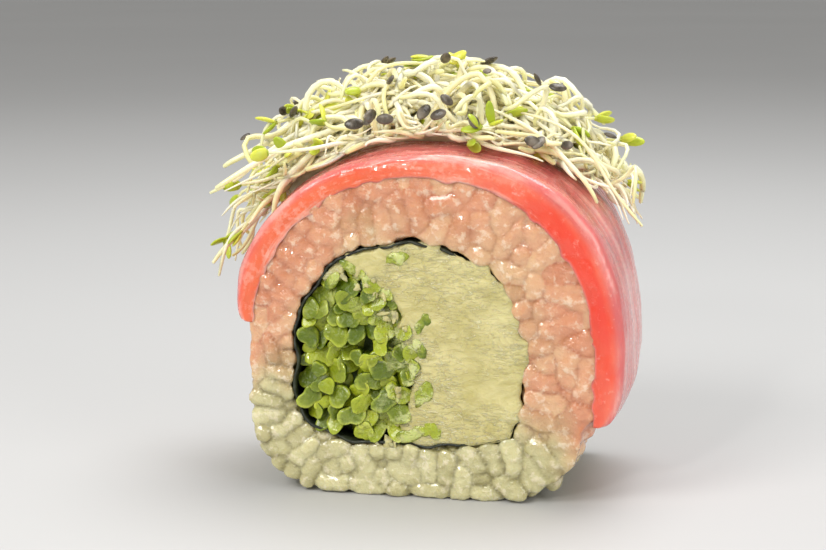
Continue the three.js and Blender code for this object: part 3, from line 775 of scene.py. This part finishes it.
points, faces, values = joined([stalks(), stray_bits(), bundle_inside()])
ray = points[:, ::2] - [BUNDLE["centre_x"], BUNDLE["centre_z"]]
turn = np.arctan2(ray[:, 1], ray[:, 0])
values["smear"] = np.clip(2.6 * np.hypot(*ray.T) / bundle_reach(turn) - 1.1, 0, 1) * hump(turn, 0.3, 1.6)
greens = make_piece("green_stalk_bundle", points, faces, values, stalk_finish())
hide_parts("green_stalks")

# The slice of tuna
# One slice of raw red tuna, cut across the block and laid over the roll like a saddle, then cut through with
# it. It is soft and wet, thickest at the upper right, with pale lines of sinew along it and rounded edges.

FISH = {"thickness": 2.5, "crown": 0.9, "edge": 0.75, "slant": 4}
AIR = 0.15


def fish_reach(degrees, y):
    """How far the fish's top is from the rice: its thickness along the arc and a crown across it."""
    thickness = FISH["thickness"] + 1.5 * hump(degrees, 42, 30) + 0.6 * hump(degrees, -5, 18)
    thickness = thickness + 0.6 * hump(degrees, 155, 25)
    return AIR + thickness + FISH["crown"] * np.maximum(0, 1 - (y / HALF) ** 2)


def fish_slice():
    """A slab swept round the rice: flat below, with upright cut faces, rounded corners and thin ends."""
    stations = 300
    share = np.linspace(0, 1, stations)[:, None]
    arc = np.linspace(0, np.pi / 2, 9)[1:-1]
    bend_count, side_count, top_count = len(arc), 10, 60
    side = np.linspace(0, 1, side_count)
    top = np.linspace(1, -1, top_count)
    base = np.linspace(-1, 1, 12)[1:-1]
    radius = FISH["edge"]
    flat = HALF - radius
    upright = np.full(side_count, HALF)
    y = np.concatenate([
        upright, flat + radius * np.cos(arc), flat * top, -flat - radius * np.sin(arc), -upright, HALF * base])
    up = np.concatenate([side, np.ones(2 * bend_count + top_count), side[::-1], np.zeros(len(base))])
    turn = np.concatenate([
        0 * side, np.sin(arc), np.ones(top_count), np.cos(arc), 0 * side, np.zeros(len(base))])
    y, up, turn = y[None], up[None], turn[None]
    slant = FISH["slant"] * y / HALF
    right = FISH_ENDS[0] + slant + 1.5 * np.sin(y / 3)
    left = FISH_ENDS[1] + 0.6 * slant - 1.5 * np.sin(y / 4)
    degrees = right + (left - right) * share
    to_end = np.minimum(1, np.minimum(share * 14, (1 - share) * 8))
    rounding = 0.3 + 0.7 * np.sqrt(1 - (1 - to_end) ** 2)
    thick = (fish_reach(degrees, y) - AIR) * rounding
    bend = np.minimum(radius, 0.45 * thick)
    height = up * (thick - bend) + turn * bend
    run = np.radians(degrees) * 24
    spot = stacked(run, y, height)
    fibre = waves(spot * [0.05, 1, 0.6], 2.4, 61, 3)
    dents = waves(spot * [0.5, 0.5, 0.5], 6, 62, 2)
    height = height + turn * (0.05 * fibre + 0.22 * dents) * rounding
    creep = np.clip(waves(spot[..., :2] * [1, 0.2], 6, 65, 2), 0, 1)
    height = height - 0.6 * creep * near_face(y, 0.8) * (1 - up) * rounding
    cut = (np.abs(y) > flat + 0.02) * (up > 0)
    ragged = 0.18 * waves(spot * [0.6, 0, 1], 3.0, 63, 3) + 0.22 * waves(spot * [1, 0, 0], 14, 64, 1)
    y = y + np.sign(y) * (np.abs(y) > flat - 1.0) * ragged
    grid = over(RICE, np.radians(degrees), y, height)
    lie = stacked(run, y, height)
    points, faces = capped(grid)

    def spread(numbers):
        """A grid's numbers in the order of the points, with each end's first number at its pole."""
        numbers = np.broadcast_to(numbers, grid.shape[:2] + numbers.shape[2:])
        flat_list = numbers.reshape((-1,) + numbers.shape[2:])
        return np.concatenate([flat_list[:1], flat_list, flat_list[-1:]])

    # Lip marks the rounded edge between cut face and top, where the finish paints a highlight.
    return points, faces, {
        "lie": spread(lie), "cut": spread(1.0 * cut), "lip": spread(up * turn * (1 - turn) * 4),
        "level": spread(height / thick), "round": spread(degrees)}


def fish_finish():
    """Pinkish red flesh, paler outside, deep red inside the right-hand cut, with lines of sinew, a painted
    highlight along the lip and painted sheen on the wet cut.
    """
    material, start, place = new_finish("tuna")
    cut, lip, level, turn = (start.attribute(name) for name in ("cut", "lip", "level", "round"))
    lie = start.attribute("lie", "Vector")
    streak = start.noise(lie.stretched((0.06, 0.7, 0.7)), 1.0, 4, 0.55, 0.5)
    patch = start.noise(lie.stretched((0.35, 0.8, 1)), 0.45, 4, 0.6)
    cloud = start.noise(place, 110, 3)
    grit = start.noise(place, 1300, 3, 0.6)
    deep = (cloud * 0.6 + patch * 0.6).ramp(0.35, 0.85).mix((0.8, 0.1, 0.05, 1), (0.86, 0.26, 0.15, 1))
    crust = (cloud * 0.5 + streak * 0.6).ramp(0.35, 0.8).mix((0.64, 0.12, 0.12, 1), (0.84, 0.33, 0.29, 1))
    inside = level.ramp(0.95, 0.55)
    colour = (cut * inside).mix(crust, deep)
    right = turn.ramp(80, 30) * turn.ramp(-18, 20, 0.35, 1)
    band = right * cut * (level + patch * 0.35 - 0.17).ramp(0.8, 0.45)
    colour = (band * 0.75).mix(colour, (0.8, 0.03, 0.01, 1))
    orange = turn.ramp(70, 125) * cut * (level + patch * 0.5 - 0.25).ramp(0.95, 0.35)
    colour = (orange * 0.9).mix(colour, (0.8, 0.15, 0.055, 1))
    sinew = streak.ramp(0.54, 0.64) * patch.ramp(0.35, 0.55)
    colour = (sinew * 0.45).mix(colour, (0.88, 0.53, 0.45, 1))
    fleck = grit.ramp(0.6, 0.75) * cut
    colour = (fleck * 0.25).mix(colour, (0.92, 0.62, 0.52, 1))
    # Painted sheen: pale patches on the left part of the cut face stand in for reflections off its wet surface.
    wet = (grit * 0.5 + patch * 0.5).ramp(0.5, 0.6) * cut * turn.ramp(20, 100)
    colour = (wet * 0.25).mix(colour, (0.93, 0.55, 0.45, 1))
    # Painted highlight: a pale streak along the rounded lip between the cut face and the top.
    colour = (lip * patch.ramp(0.4, 0.62) * 0.4).mix(colour, (0.93, 0.58, 0.5, 1))
    return surface(material, start, {
        "Base Color": colour, "IOR": 1.42,
        "Roughness": (grit * 0.5 + streak * 0.5).ramp(0.3, 0.7, 0.14, 0.36),
        "Subsurface Weight": 0.5, "Subsurface Radius": (1.0, 0.3, 0.2), "Subsurface Scale": 0.0018,
        "Coat Weight": 0.6, "Coat Roughness": 0.08,
        "Normal": start.bump(streak * 0.8 + patch * 0.6 + grit * 0.25, 0.6, 0.0006)})


points, faces, values = fish_slice()
fish = make_piece("tuna_slice_cut", points, faces, values, fish_finish())
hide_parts("tuna_slice")

# The sprouts
# A heap of raw sprouts dropped on the fish: fine curling stems that thin to a root at one end and carry two
# small seed leaves at the other, with the dark hulls that the seeds have shed lying among them.

HEAP = {"centre_u": -1.5, "centre_y": 2.6, "half_u": 21, "half_y": 9.2, "height": 4.4, "reach": 24.3}
LEAD_COUNT = 16
LEAD_SEED = 2
LEAD_LAYERS = 2.4
SMALL_COUNT = 430
HEAP_BASE = 0.4
STEM_RADIUS = 0.4
STEM_STEPS = 26
LEAF_ROOM = np.array([[-28.5, -13.5, 0], [25.5, 17.5, 53]])  # the leaves' ends stay between these corners


def dealt(count, seed):
    """The repeatable numbers from 0 to 1 that place the largest stems, the same ones as in the solid heap."""
    state, numbers = seed, []
    for _ in range(count):
        state = (state * 1664525 + 1013904223) % 4294967296
        numbers.append(state / 4294967296)
    return np.array(numbers)


def over_fish(u, y, distance):
    """Points over the fish: u runs round the roll to the right of its top, and the distance is from the rice."""
    return over(RICE, np.pi / 2 - u / HEAP["reach"], y, distance)


def fish_top(u, y):
    """How far the fish's surface stands from the rice at u."""
    return fish_reach(90 - np.degrees(u / HEAP["reach"]), y)


def dome(u, y):
    """Height of the heap over the fish: a dome that runs out at its oval rim."""
    rim = ((u - HEAP["centre_u"]) / HEAP["half_u"]) ** 2 + ((y - HEAP["centre_y"]) / HEAP["half_y"]) ** 2
    return HEAP["height"] * np.maximum(0, 1 - rim) ** 0.6


def held(value, low, high, soft=3.0):
    """A value eased towards its limits, which it never passes: it is unchanged until within a soft margin."""
    over_high = np.maximum(0, value - high + soft)
    over_low = np.maximum(0, low + soft - value)
    value = value - over_high + soft * (1 - np.exp(-over_high / soft))
    return value + over_low - soft * (1 - np.exp(-over_low / soft))


def stem_lines(plan):
    """Middle lines of stems: a walk both ways from the middle of each, whose heading and pitch turn.

    The line lies on the dome, at its lowest in the middle, lifts towards its ends, springs off the shoulders
    and droops where it reaches past a cut face. A curly stem also weaves up and down, and its head may hook
    sideways or arch over.
    """
    plan = {name: numbers[:, None] for name, numbers in plan.items()}
    half = STEM_STEPS // 2
    step = plan["length"] / STEM_STEPS
    s = (np.arange(-half, half) + 0.5) * step
    along = s / plan["length"]
    turn = plan["heading"] + plan["curl"] * s + plan["sway"] * np.sin(2 * np.pi * along)
    turn = turn + plan["hook"] * np.maximum(0, 2 * along - 0.35) ** 2
    onward = np.clip(2 * along - 0.1, 0, 0.9)
    pitch = plan["weave"] * np.sin(0.75 * s + plan["phase"]) + plan["arch"] * np.sin(5.8 * onward)
    moves = step * np.stack([np.cos(pitch) * np.cos(turn), np.cos(pitch) * np.sin(turn), np.sin(pitch)])
    walked = np.concatenate([0 * moves[..., :1], np.cumsum(moves, axis=-1)], axis=-1)
    walked = walked - walked[..., half : half + 1]
    u = walked[0] + HEAP["centre_u"] + HEAP["half_u"] * plan["share"] * np.cos(plan["spot"])
    y = walked[1] + HEAP["centre_y"] + HEAP["half_y"] * plan["share"] * np.sin(plan["spot"])
    rise = walked[2] - walked[2].min(axis=1, keepdims=True)
    end = np.arange(STEM_STEPS + 1) / half - 1
    rise = rise + np.where(end > 0, plan["head_lift"], plan["tail_lift"]) * np.abs(end) ** 3
    overhang = np.maximum(0, np.abs(y) - HALF - 1)
    shoulder = np.maximum(0, np.abs(u) - 15)
    clear = -0.3 + (plan["ride"] + 0.3) * np.minimum(1, 2 * np.abs(end))
    lie = fish_top(u, y) + HEAP_BASE + STEM_RADIUS + np.maximum(0, dome(u, y) + clear)
    return over_fish(u, y, lie + rise + plan["spring"] * shoulder**2 / 48 - 0.12 * overhang**2)


def lead_stems():
    """The largest stems, where the solid heap has them: none of them weaves, hooks or arches."""
    draws = dealt(LEAD_COUNT * 10, LEAD_SEED).reshape(LEAD_COUNT, 10)
    heading = (draws[:, 3] - 0.5) * 2.6 + np.where(draws[:, 4] < 0.5, np.pi, 0)
    plain = {name: np.zeros(LEAD_COUNT) for name in ("weave", "phase", "hook", "arch")}
    return dict(
        plain, spot=draws[:, 0] * 2 * np.pi, share=np.sqrt(draws[:, 1]) * 0.74, length=18 + 14 * draws[:, 2],
        heading=heading, curl=(draws[:, 5] - 0.5) * 0.26, sway=(draws[:, 6] - 0.5) * 1.4,
        ride=0.5 + LEAD_LAYERS * np.arange(LEAD_COUNT) / LEAD_COUNT, spring=0.4 + 2.6 * draws[:, 7] ** 2,
        head_lift=4.5 * draws[:, 8] ** 2, tail_lift=3 * draws[:, 9] ** 2)


def small_stems(count, seed):
    """The many finer stems between them, of which some curl tightly and some end in a hook."""
    random = np.random.default_rng(seed)
    ranges = dict(
        spot=(0, 2 * np.pi), share=(0, 0.94), length=(11, 27), heading=(-1.5, 1.5), curl=(-0.12, 0.12),
        sway=(-0.9, 0.9), ride=(-2.6, 2.3), spring=(0, 1), head_lift=(0, 1), tail_lift=(0, 1),
        weave=(0, 0.25), phase=(0, 6.3), hook=(-5, 5), arch=(0.5, 1.3))
    plan = {name: random.uniform(low, high, count) for name, (low, high) in ranges.items()}
    curly = random.uniform(0, 1, count) < 0.4
    plan["share"] = np.sqrt(plan["share"])
    plan["heading"] += np.pi * (random.uniform(0, 1, count) < 0.5)
    plan["curl"] *= np.where(curly, 3.5, 1)
    plan["weave"] += np.where(curly, random.uniform(0.25, 0.75, count), 0)
    plan["hook"] *= random.uniform(0, 1, count) < 0.6
    plan["arch"] *= random.uniform(0, 1, count) < 0.3
    plan["spring"] = 0.2 + 1.2 * plan["spring"] ** 2
    plan["head_lift"] = 2.6 * plan["head_lift"] ** 2
    plan["tail_lift"] = 2.2 * plan["tail_lift"] ** 2
    return plan


def tubes(lines, radius, sides):
    """Rows of round tubes: each ring stands square to its line, and its side is carried on without twist."""
    forward = unit(np.gradient(lines, axis=1))
    side = unit(np.cross(forward[:, 0], [0.3, 0.2, 0.93]))
    sides_along = []
    for k in range(lines.shape[1]):
        side = unit(side - (side * forward[:, k]).sum(-1, keepdims=True) * forward[:, k])
        sides_along.append(side)
    across = np.stack(sides_along, axis=1)[:, :, None]
    up = np.cross(forward[:, :, None], across)
    turn = np.linspace(0, 2 * np.pi, sides, endpoint=False)[None, None, :, None]
    rings = lines[:, :, None] + radius[..., None, None] * (np.cos(turn) * across + np.sin(turn) * up)
    caps = [lines[:, k] + way * radius[:, k, None] * forward[:, k] for k, way in ((0, -0.8), (-1, 0.8))]
    start, end = (np.broadcast_to(cap[:, None, None], rings[:, :1].shape) for cap in caps)
    return np.concatenate([start, rings, end], axis=1)


REACHING = [  # where each long stem starts, what it bends towards and where it ends
    [(-8, -1, 47), (-19, -4, 42.5), (-28.0, -6, 34.8)],
    [(-5, -3, 46), (-16, -8, 42.5), (-24.5, -8.8, 37.0)],
    [(-9, 2, 47), (-20, 2, 45), (-26.0, -1, 37.5)],
    [(-9, -3, 45), (-15.5, -7, 42.5), (-18.5, -8.6, 33.5)],
    [(8, -3, 46), (19, -7.5, 45.5), (24.8, -8.5, 33.0)],
    [(6, -4, 46.5), (16, -8, 44), (19.0, -9.2, 36.5)],
]


def reaching_stems():
    """Middle lines of the long stems that leave the heap over its shoulders: curves that sag and waver."""
    ends = np.array(REACHING, float)
    along = np.linspace(0, 1, STEM_STEPS + 1)[None, :, None]
    a, b, c = (ends[:, k, None] for k in range(3))
    lines = (1 - along) ** 2 * a + 2 * along * (1 - along) * b + along**2 * c
    number = np.arange(len(ends))[:, None, None]
    phase = number * [1, 2, 3]
    return lines + 0.7 * along * (np.sin([9, 8, 7] * along + phase) - np.sin(phase))


def stem_piece(bunches):
    """All stems in one: thin at the root, full along the middle and slightly narrower at the head."""
    parts, heads, sides = [], [], 6
    random = np.random.default_rng(73)
    along = np.linspace(0, 1, STEM_STEPS + 1)
    for lines in bunches:
        count = len(lines)
        thick = STEM_RADIUS * random.uniform(0.5, 1.08, count)[:, None]
        taper = np.clip(0.3 + 2.6 * along, 0, 1) * (1 - 0.35 * along**14)
        points, faces = closed_skins(tubes(lines, thick * taper, sides))
        share = np.concatenate([along[:1], np.repeat(along, sides), along[-1:]])
        tone = np.repeat(random.uniform(0, 1, count), len(share))
        parts.append((points, faces, {"along": np.tile(share, count), "tone": tone}))
        heads.append((lines[:, -1], unit(lines[:, -1] - lines[:, -3])))
    return joined(parts), [np.concatenate(part) for part in zip(*heads)]


def heap_core():
    """The mass of stems inside: a lumpy dome just under those that show, closed below over the fish."""
    spokes, levels = 90, 16
    turn = np.linspace(0, 2 * np.pi, spokes, endpoint=False)
    out = np.linspace(0, 1, levels)[:, None]
    u = HEAP["centre_u"] + 0.9 * HEAP["half_u"] * out * np.cos(turn)
    y = HEAP["centre_y"] + 0.78 * HEAP["half_y"] * out * np.sin(turn)
    lumps = 0.5 * waves(stacked(u, y), 2.4, 74, 2)
    top = over_fish(u, y, fish_top(u, y) + 0.3 + np.maximum(0.05, dome(u, y) - 1.2 + lumps))
    below = over_fish(u, y, fish_top(u, y) - 0.35)
    points, faces = closed_skins(np.concatenate([top, below[::-1]])[None])
    return points, faces, {"along": np.full(len(points), 0.5), "tone": np.full(len(points), 0.3)}


def stem_finish():
    """Cream-white and translucent, with a yellow-green blush under the leaves."""
    material, start, place = new_finish("sprout_stem")
    along, tone = start.attribute("along"), start.attribute("tone")
    cloud = start.noise(place, 320, 3)
    cream = (tone * 0.7 + cloud * 0.5).ramp(0.0, 1.0).mix((0.84, 0.74, 0.4, 1), (1.0, 0.95, 0.68, 1))
    colour = (along.ramp(0.75, 1.0) * 0.45).mix(cream, (0.66, 0.7, 0.2, 1))
    return surface(material, start, {
        "Base Color": colour, "Roughness": cloud.ramp(0.3, 0.7, 0.2, 0.4), "IOR": 1.4,
        "Subsurface Weight": 0.5, "Subsurface Radius": (1.0, 0.9, 0.65), "Subsurface Scale": 0.0014,
        "Coat Weight": 0.2, "Coat Roughness": 0.12,
        "Normal": start.bump(cloud, 0.2, 0.0002)})


def leaf_finish():
    """Fresh yellow-green, lighter or deeper from leaf to leaf and in soft clouds, thin enough to glow."""
    material, start, place = new_finish("seed_leaf")
    tone = start.attribute("tone")
    cloud = start.noise(place, 400, 3)
    colour = (tone * 0.6 + cloud * 0.6).ramp(0.2, 1.0).mix((0.34, 0.44, 0.02, 1), (0.72, 0.72, 0.1, 1))
    return surface(material, start, {
        "Base Color": colour, "Roughness": 0.3, "IOR": 1.4,
        "Subsurface Weight": 0.35, "Subsurface Radius": (0.7, 0.9, 0.1), "Subsurface Scale": 0.0008,
        "Coat Weight": 0.2, "Coat Roughness": 0.15,
        "Normal": start.bump(cloud, 0.3, 0.0002)})


def hull_finish():
    """Dark brown-grey papery hull with a paler dusty bloom."""
    material, start, place = new_finish("seed_hull")
    cloud = start.noise(place, 700, 4, 0.6)
    return surface(material, start, {
        "Base Color": cloud.ramp(0.35, 0.75).mix((0.05, 0.04, 0.028, 1), (0.22, 0.18, 0.13, 1)),
        "Roughness": cloud.ramp(0.3, 0.7, 0.25, 0.45),
        "Normal": start.bump(cloud, 0.5, 0.0003)})


def seed_leaves(tips, ways, seed):
    """Two small ovals at each tip, folded together or opened apart, each a little cupped."""
    random = np.random.default_rng(seed)
    count = len(tips)
    side = unit(np.cross(ways, random.normal(size=ways.shape)))
    spread = random.uniform(0.08, 0.75, count)[:, None]
    parts = []
    for hand in (-1, 1):
        way = unit(ways * np.cos(spread) + hand * side * np.sin(spread))
        thin = unit(np.cross(np.cross(way, side), way))
        length, width = (random.uniform(low, high, count) for low, high in ((2.3, 3.3), (1.2, 1.7)))
        size = stacked(length, width, 0.55)
        centre = tips + way * size[:, :1] * 0.42
        rows = ovals(centre, way, thin, size, 10, 8)
        along = ((rows - centre[:, None, None]) * way[:, None, None]).sum(-1, keepdims=True)
        rows = rows - hand * 0.07 * along**2 * thin[:, None, None]
        points, faces = closed_skins(rows)
        tone = np.repeat(random.uniform(0, 1, count), len(points) // count)
        parts.append((points, faces, {"tone": tone}))
    return joined(parts)


def furthest(across, spots, heights):
    """The greatest height among the points that lie close to each spot, both seen flat."""
    away = np.linalg.norm(spots[:, None] - across, axis=-1)
    return np.where(away < 1.1, heights, -99).max(1)


def hulls_on_top(lines):
    """Middles and upright directions of hulls lying on the heap, the first where the solid heap has them."""
    random = np.random.default_rng(76)
    lead = dealt(LEAD_COUNT * 10 + 24, LEAD_SEED)[LEAD_COUNT * 10 :].reshape(8, 3)
    draws = np.concatenate([lead, random.uniform(0, 1, (7, 3))])
    spot, share = draws[:, 0] * 2 * np.pi, 0.25 + 0.65 * draws[:, 1]
    u = HEAP["centre_u"] + HEAP["half_u"] * share * np.cos(spot)
    y = HEAP["centre_y"] + HEAP["half_y"] * share * np.sin(spot)
    x, depth, z = lines.reshape(-1, 3).T
    out, _, _, angle = past(RICE, x, z)
    lie = furthest(stacked((np.pi / 2 - angle) * HEAP["reach"], depth), stacked(u, y), out)
    centre = over_fish(u, y, lie + STEM_RADIUS + 0.1)
    return centre, unit(centre - [0, 0, RICE["shoulder_z"]])


def hulls_on_sides(lines):
    """Middles and outward directions of hulls caught on the heap's front and back, just above the fish."""
    random = np.random.default_rng(78)
    side = np.repeat([-1, 1], [11, 7])
    u = random.uniform(-19, 17, len(side))
    out = fish_top(u, 0) + 1.6 + random.uniform(0, 0.85, len(side)) * dome(u, HEAP["centre_y"])
    spot = over_fish(u, 0, out)[:, ::2]
    lie = [furthest(lines.reshape(-1, 3)[:, ::2], spot, way * lines[..., 1].ravel()) for way in (-1, 1)]
    y = side * (np.where(side < 0, *lie) + STEM_RADIUS)
    keep = np.abs(y) < 16
    return stacked(spot[:, 0], y, spot[:, 1])[keep], stacked(0, side, 0.4)[keep]


def seed_hulls(lines):
    """Dark flattened ovals that lie flat on the stems, turned any way and a little tilted."""
    random = np.random.default_rng(77)
    centre, up = (np.concatenate(pair) for pair in zip(hulls_on_top(lines), hulls_on_sides(lines)))
    thin = unit(unit(up) + 0.35 * random.normal(size=up.shape))
    way = unit(np.cross(thin, random.normal(size=up.shape)))
    size = np.array([2.2, 1.35, 0.6]) * random.uniform(0.75, 1.12, (len(up), 1))
    return closed_skins(ovals(centre, way, thin, size, 14, 10, plump=1.1))


def small_lines():
    """Middle lines of the finer stems, held inside the room that the largest ones take."""
    x, y, z = np.moveaxis(stem_lines(small_stems(SMALL_COUNT, 71)), -1, 0)
    return stacked(held(x, -28, 25), held(y, -10.5, 17), held(z, -99, 52.2, 2.0))


bunches = [stem_lines(lead_stems()), reaching_stems(), small_lines()]
(points, faces, values), (tips, ways) = stem_piece(bunches)
points, faces, values = joined([(points, faces, values), heap_core()])
stems = make_piece("sprout_stems", points, faces, values, stem_finish())
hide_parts("sprouts")

leafed = np.concatenate([np.arange(LEAD_COUNT), np.arange(LEAD_COUNT + 4, len(tips), 6)])
ends = tips + 3 * ways
inside = ((ends > LEAF_ROOM[0]) & (ends < LEAF_ROOM[1])).all(axis=-1)
leafed = leafed[inside[leafed] | (leafed < LEAD_COUNT)]
points, faces, values = seed_leaves(tips[leafed], ways[leafed], 75)
leaves = make_piece("seed_leaves", points, faces, values, leaf_finish())
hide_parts("sprouts")

points, faces = seed_hulls(np.concatenate(bunches))
hulls = make_piece("seed_hulls", points, faces, {}, hull_finish())
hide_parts("sprouts")

# The studio
# A plain pale table, a large soft lamp high on the left in front with a small bright one under it, another on
# the right and one above, and the camera where the photographer stood: low, to the right of the cut face.


def table_finish():
    """Pale matt grey-white."""
    material, start, place = new_finish("table")
    colour = start.noise(place, 3, 2).ramp(0.2, 0.8).mix((0.5, 0.5, 0.495, 1), (0.53, 0.53, 0.525, 1))
    return surface(material, start, {"Base Color": colour, "Roughness": 0.6})


def table():
    """A wide flat disc with its middle under the slice."""
    radius, corners = 8, 64
    turn = np.linspace(0, 2 * np.pi, corners, endpoint=False)
    mesh = bpy.data.meshes.new("table")
    rim = stacked(radius * np.cos(turn), radius * np.sin(turn), 0)
    mesh.from_pydata(rim.tolist(), [], [list(range(corners))])
    mesh.materials.append(table_finish())
    disc = bpy.data.objects.new("table", mesh)
    bpy.context.collection.objects.link(disc)
    return disc


def soft_lamp(name, place, aim, size, power, colour):
    """A round lamp that faces a point."""
    lamp = bpy.data.lights.new(name, "AREA")
    lamp.shape, lamp.size, lamp.energy, lamp.color = "DISK", size, power, colour
    holder = bpy.data.objects.new(name, lamp)
    holder.location = place
    holder.rotation_euler = (Vector(aim) - Vector(place)).to_track_quat("-Z", "Y").to_euler()
    bpy.context.collection.objects.link(holder)


table()
AIM = (0, 0, 0.025)
soft_lamp("key", (-0.22, -0.28, 0.34), AIM, 0.2, 1.1, (1, 0.98, 0.95))
soft_lamp("sparkle", (-0.09, -0.33, 0.2), AIM, 0.03, 0.3, (1, 0.99, 0.97))
soft_lamp("fill", (0.34, -0.2, 0.16), AIM, 0.25, 0.5, (1, 0.99, 0.98))
soft_lamp("top", (0.06, 0.1, 0.42), AIM, 0.3, 1.5, (0.99, 0.99, 1))

world = bpy.data.worlds.new("studio")
world.use_nodes = True
backdrop = world.node_tree.nodes["Background"]
backdrop.inputs["Color"].default_value = (1.0, 0.99, 0.97, 1)
backdrop.inputs["Strength"].default_value = 0.46
bpy.context.scene.world = world
bpy.context.scene.view_settings.view_transform = "Standard"

CAMERA_PLACE = (0.0399, -0.2085, 0.065)
CAMERA_AIM = (-0.0007, -0.0125, 0.0273)
camera = bpy.data.objects.new("camera", bpy.data.cameras.new("camera"))
camera.data.lens = 75.8
camera.data.clip_start = 0.01
camera.location = CAMERA_PLACE
camera.rotation_euler = (Vector(CAMERA_AIM) - Vector(CAMERA_PLACE)).to_track_quat("-Z", "Y").to_euler()
bpy.context.collection.objects.link(camera)
bpy.context.scene.camera = camera
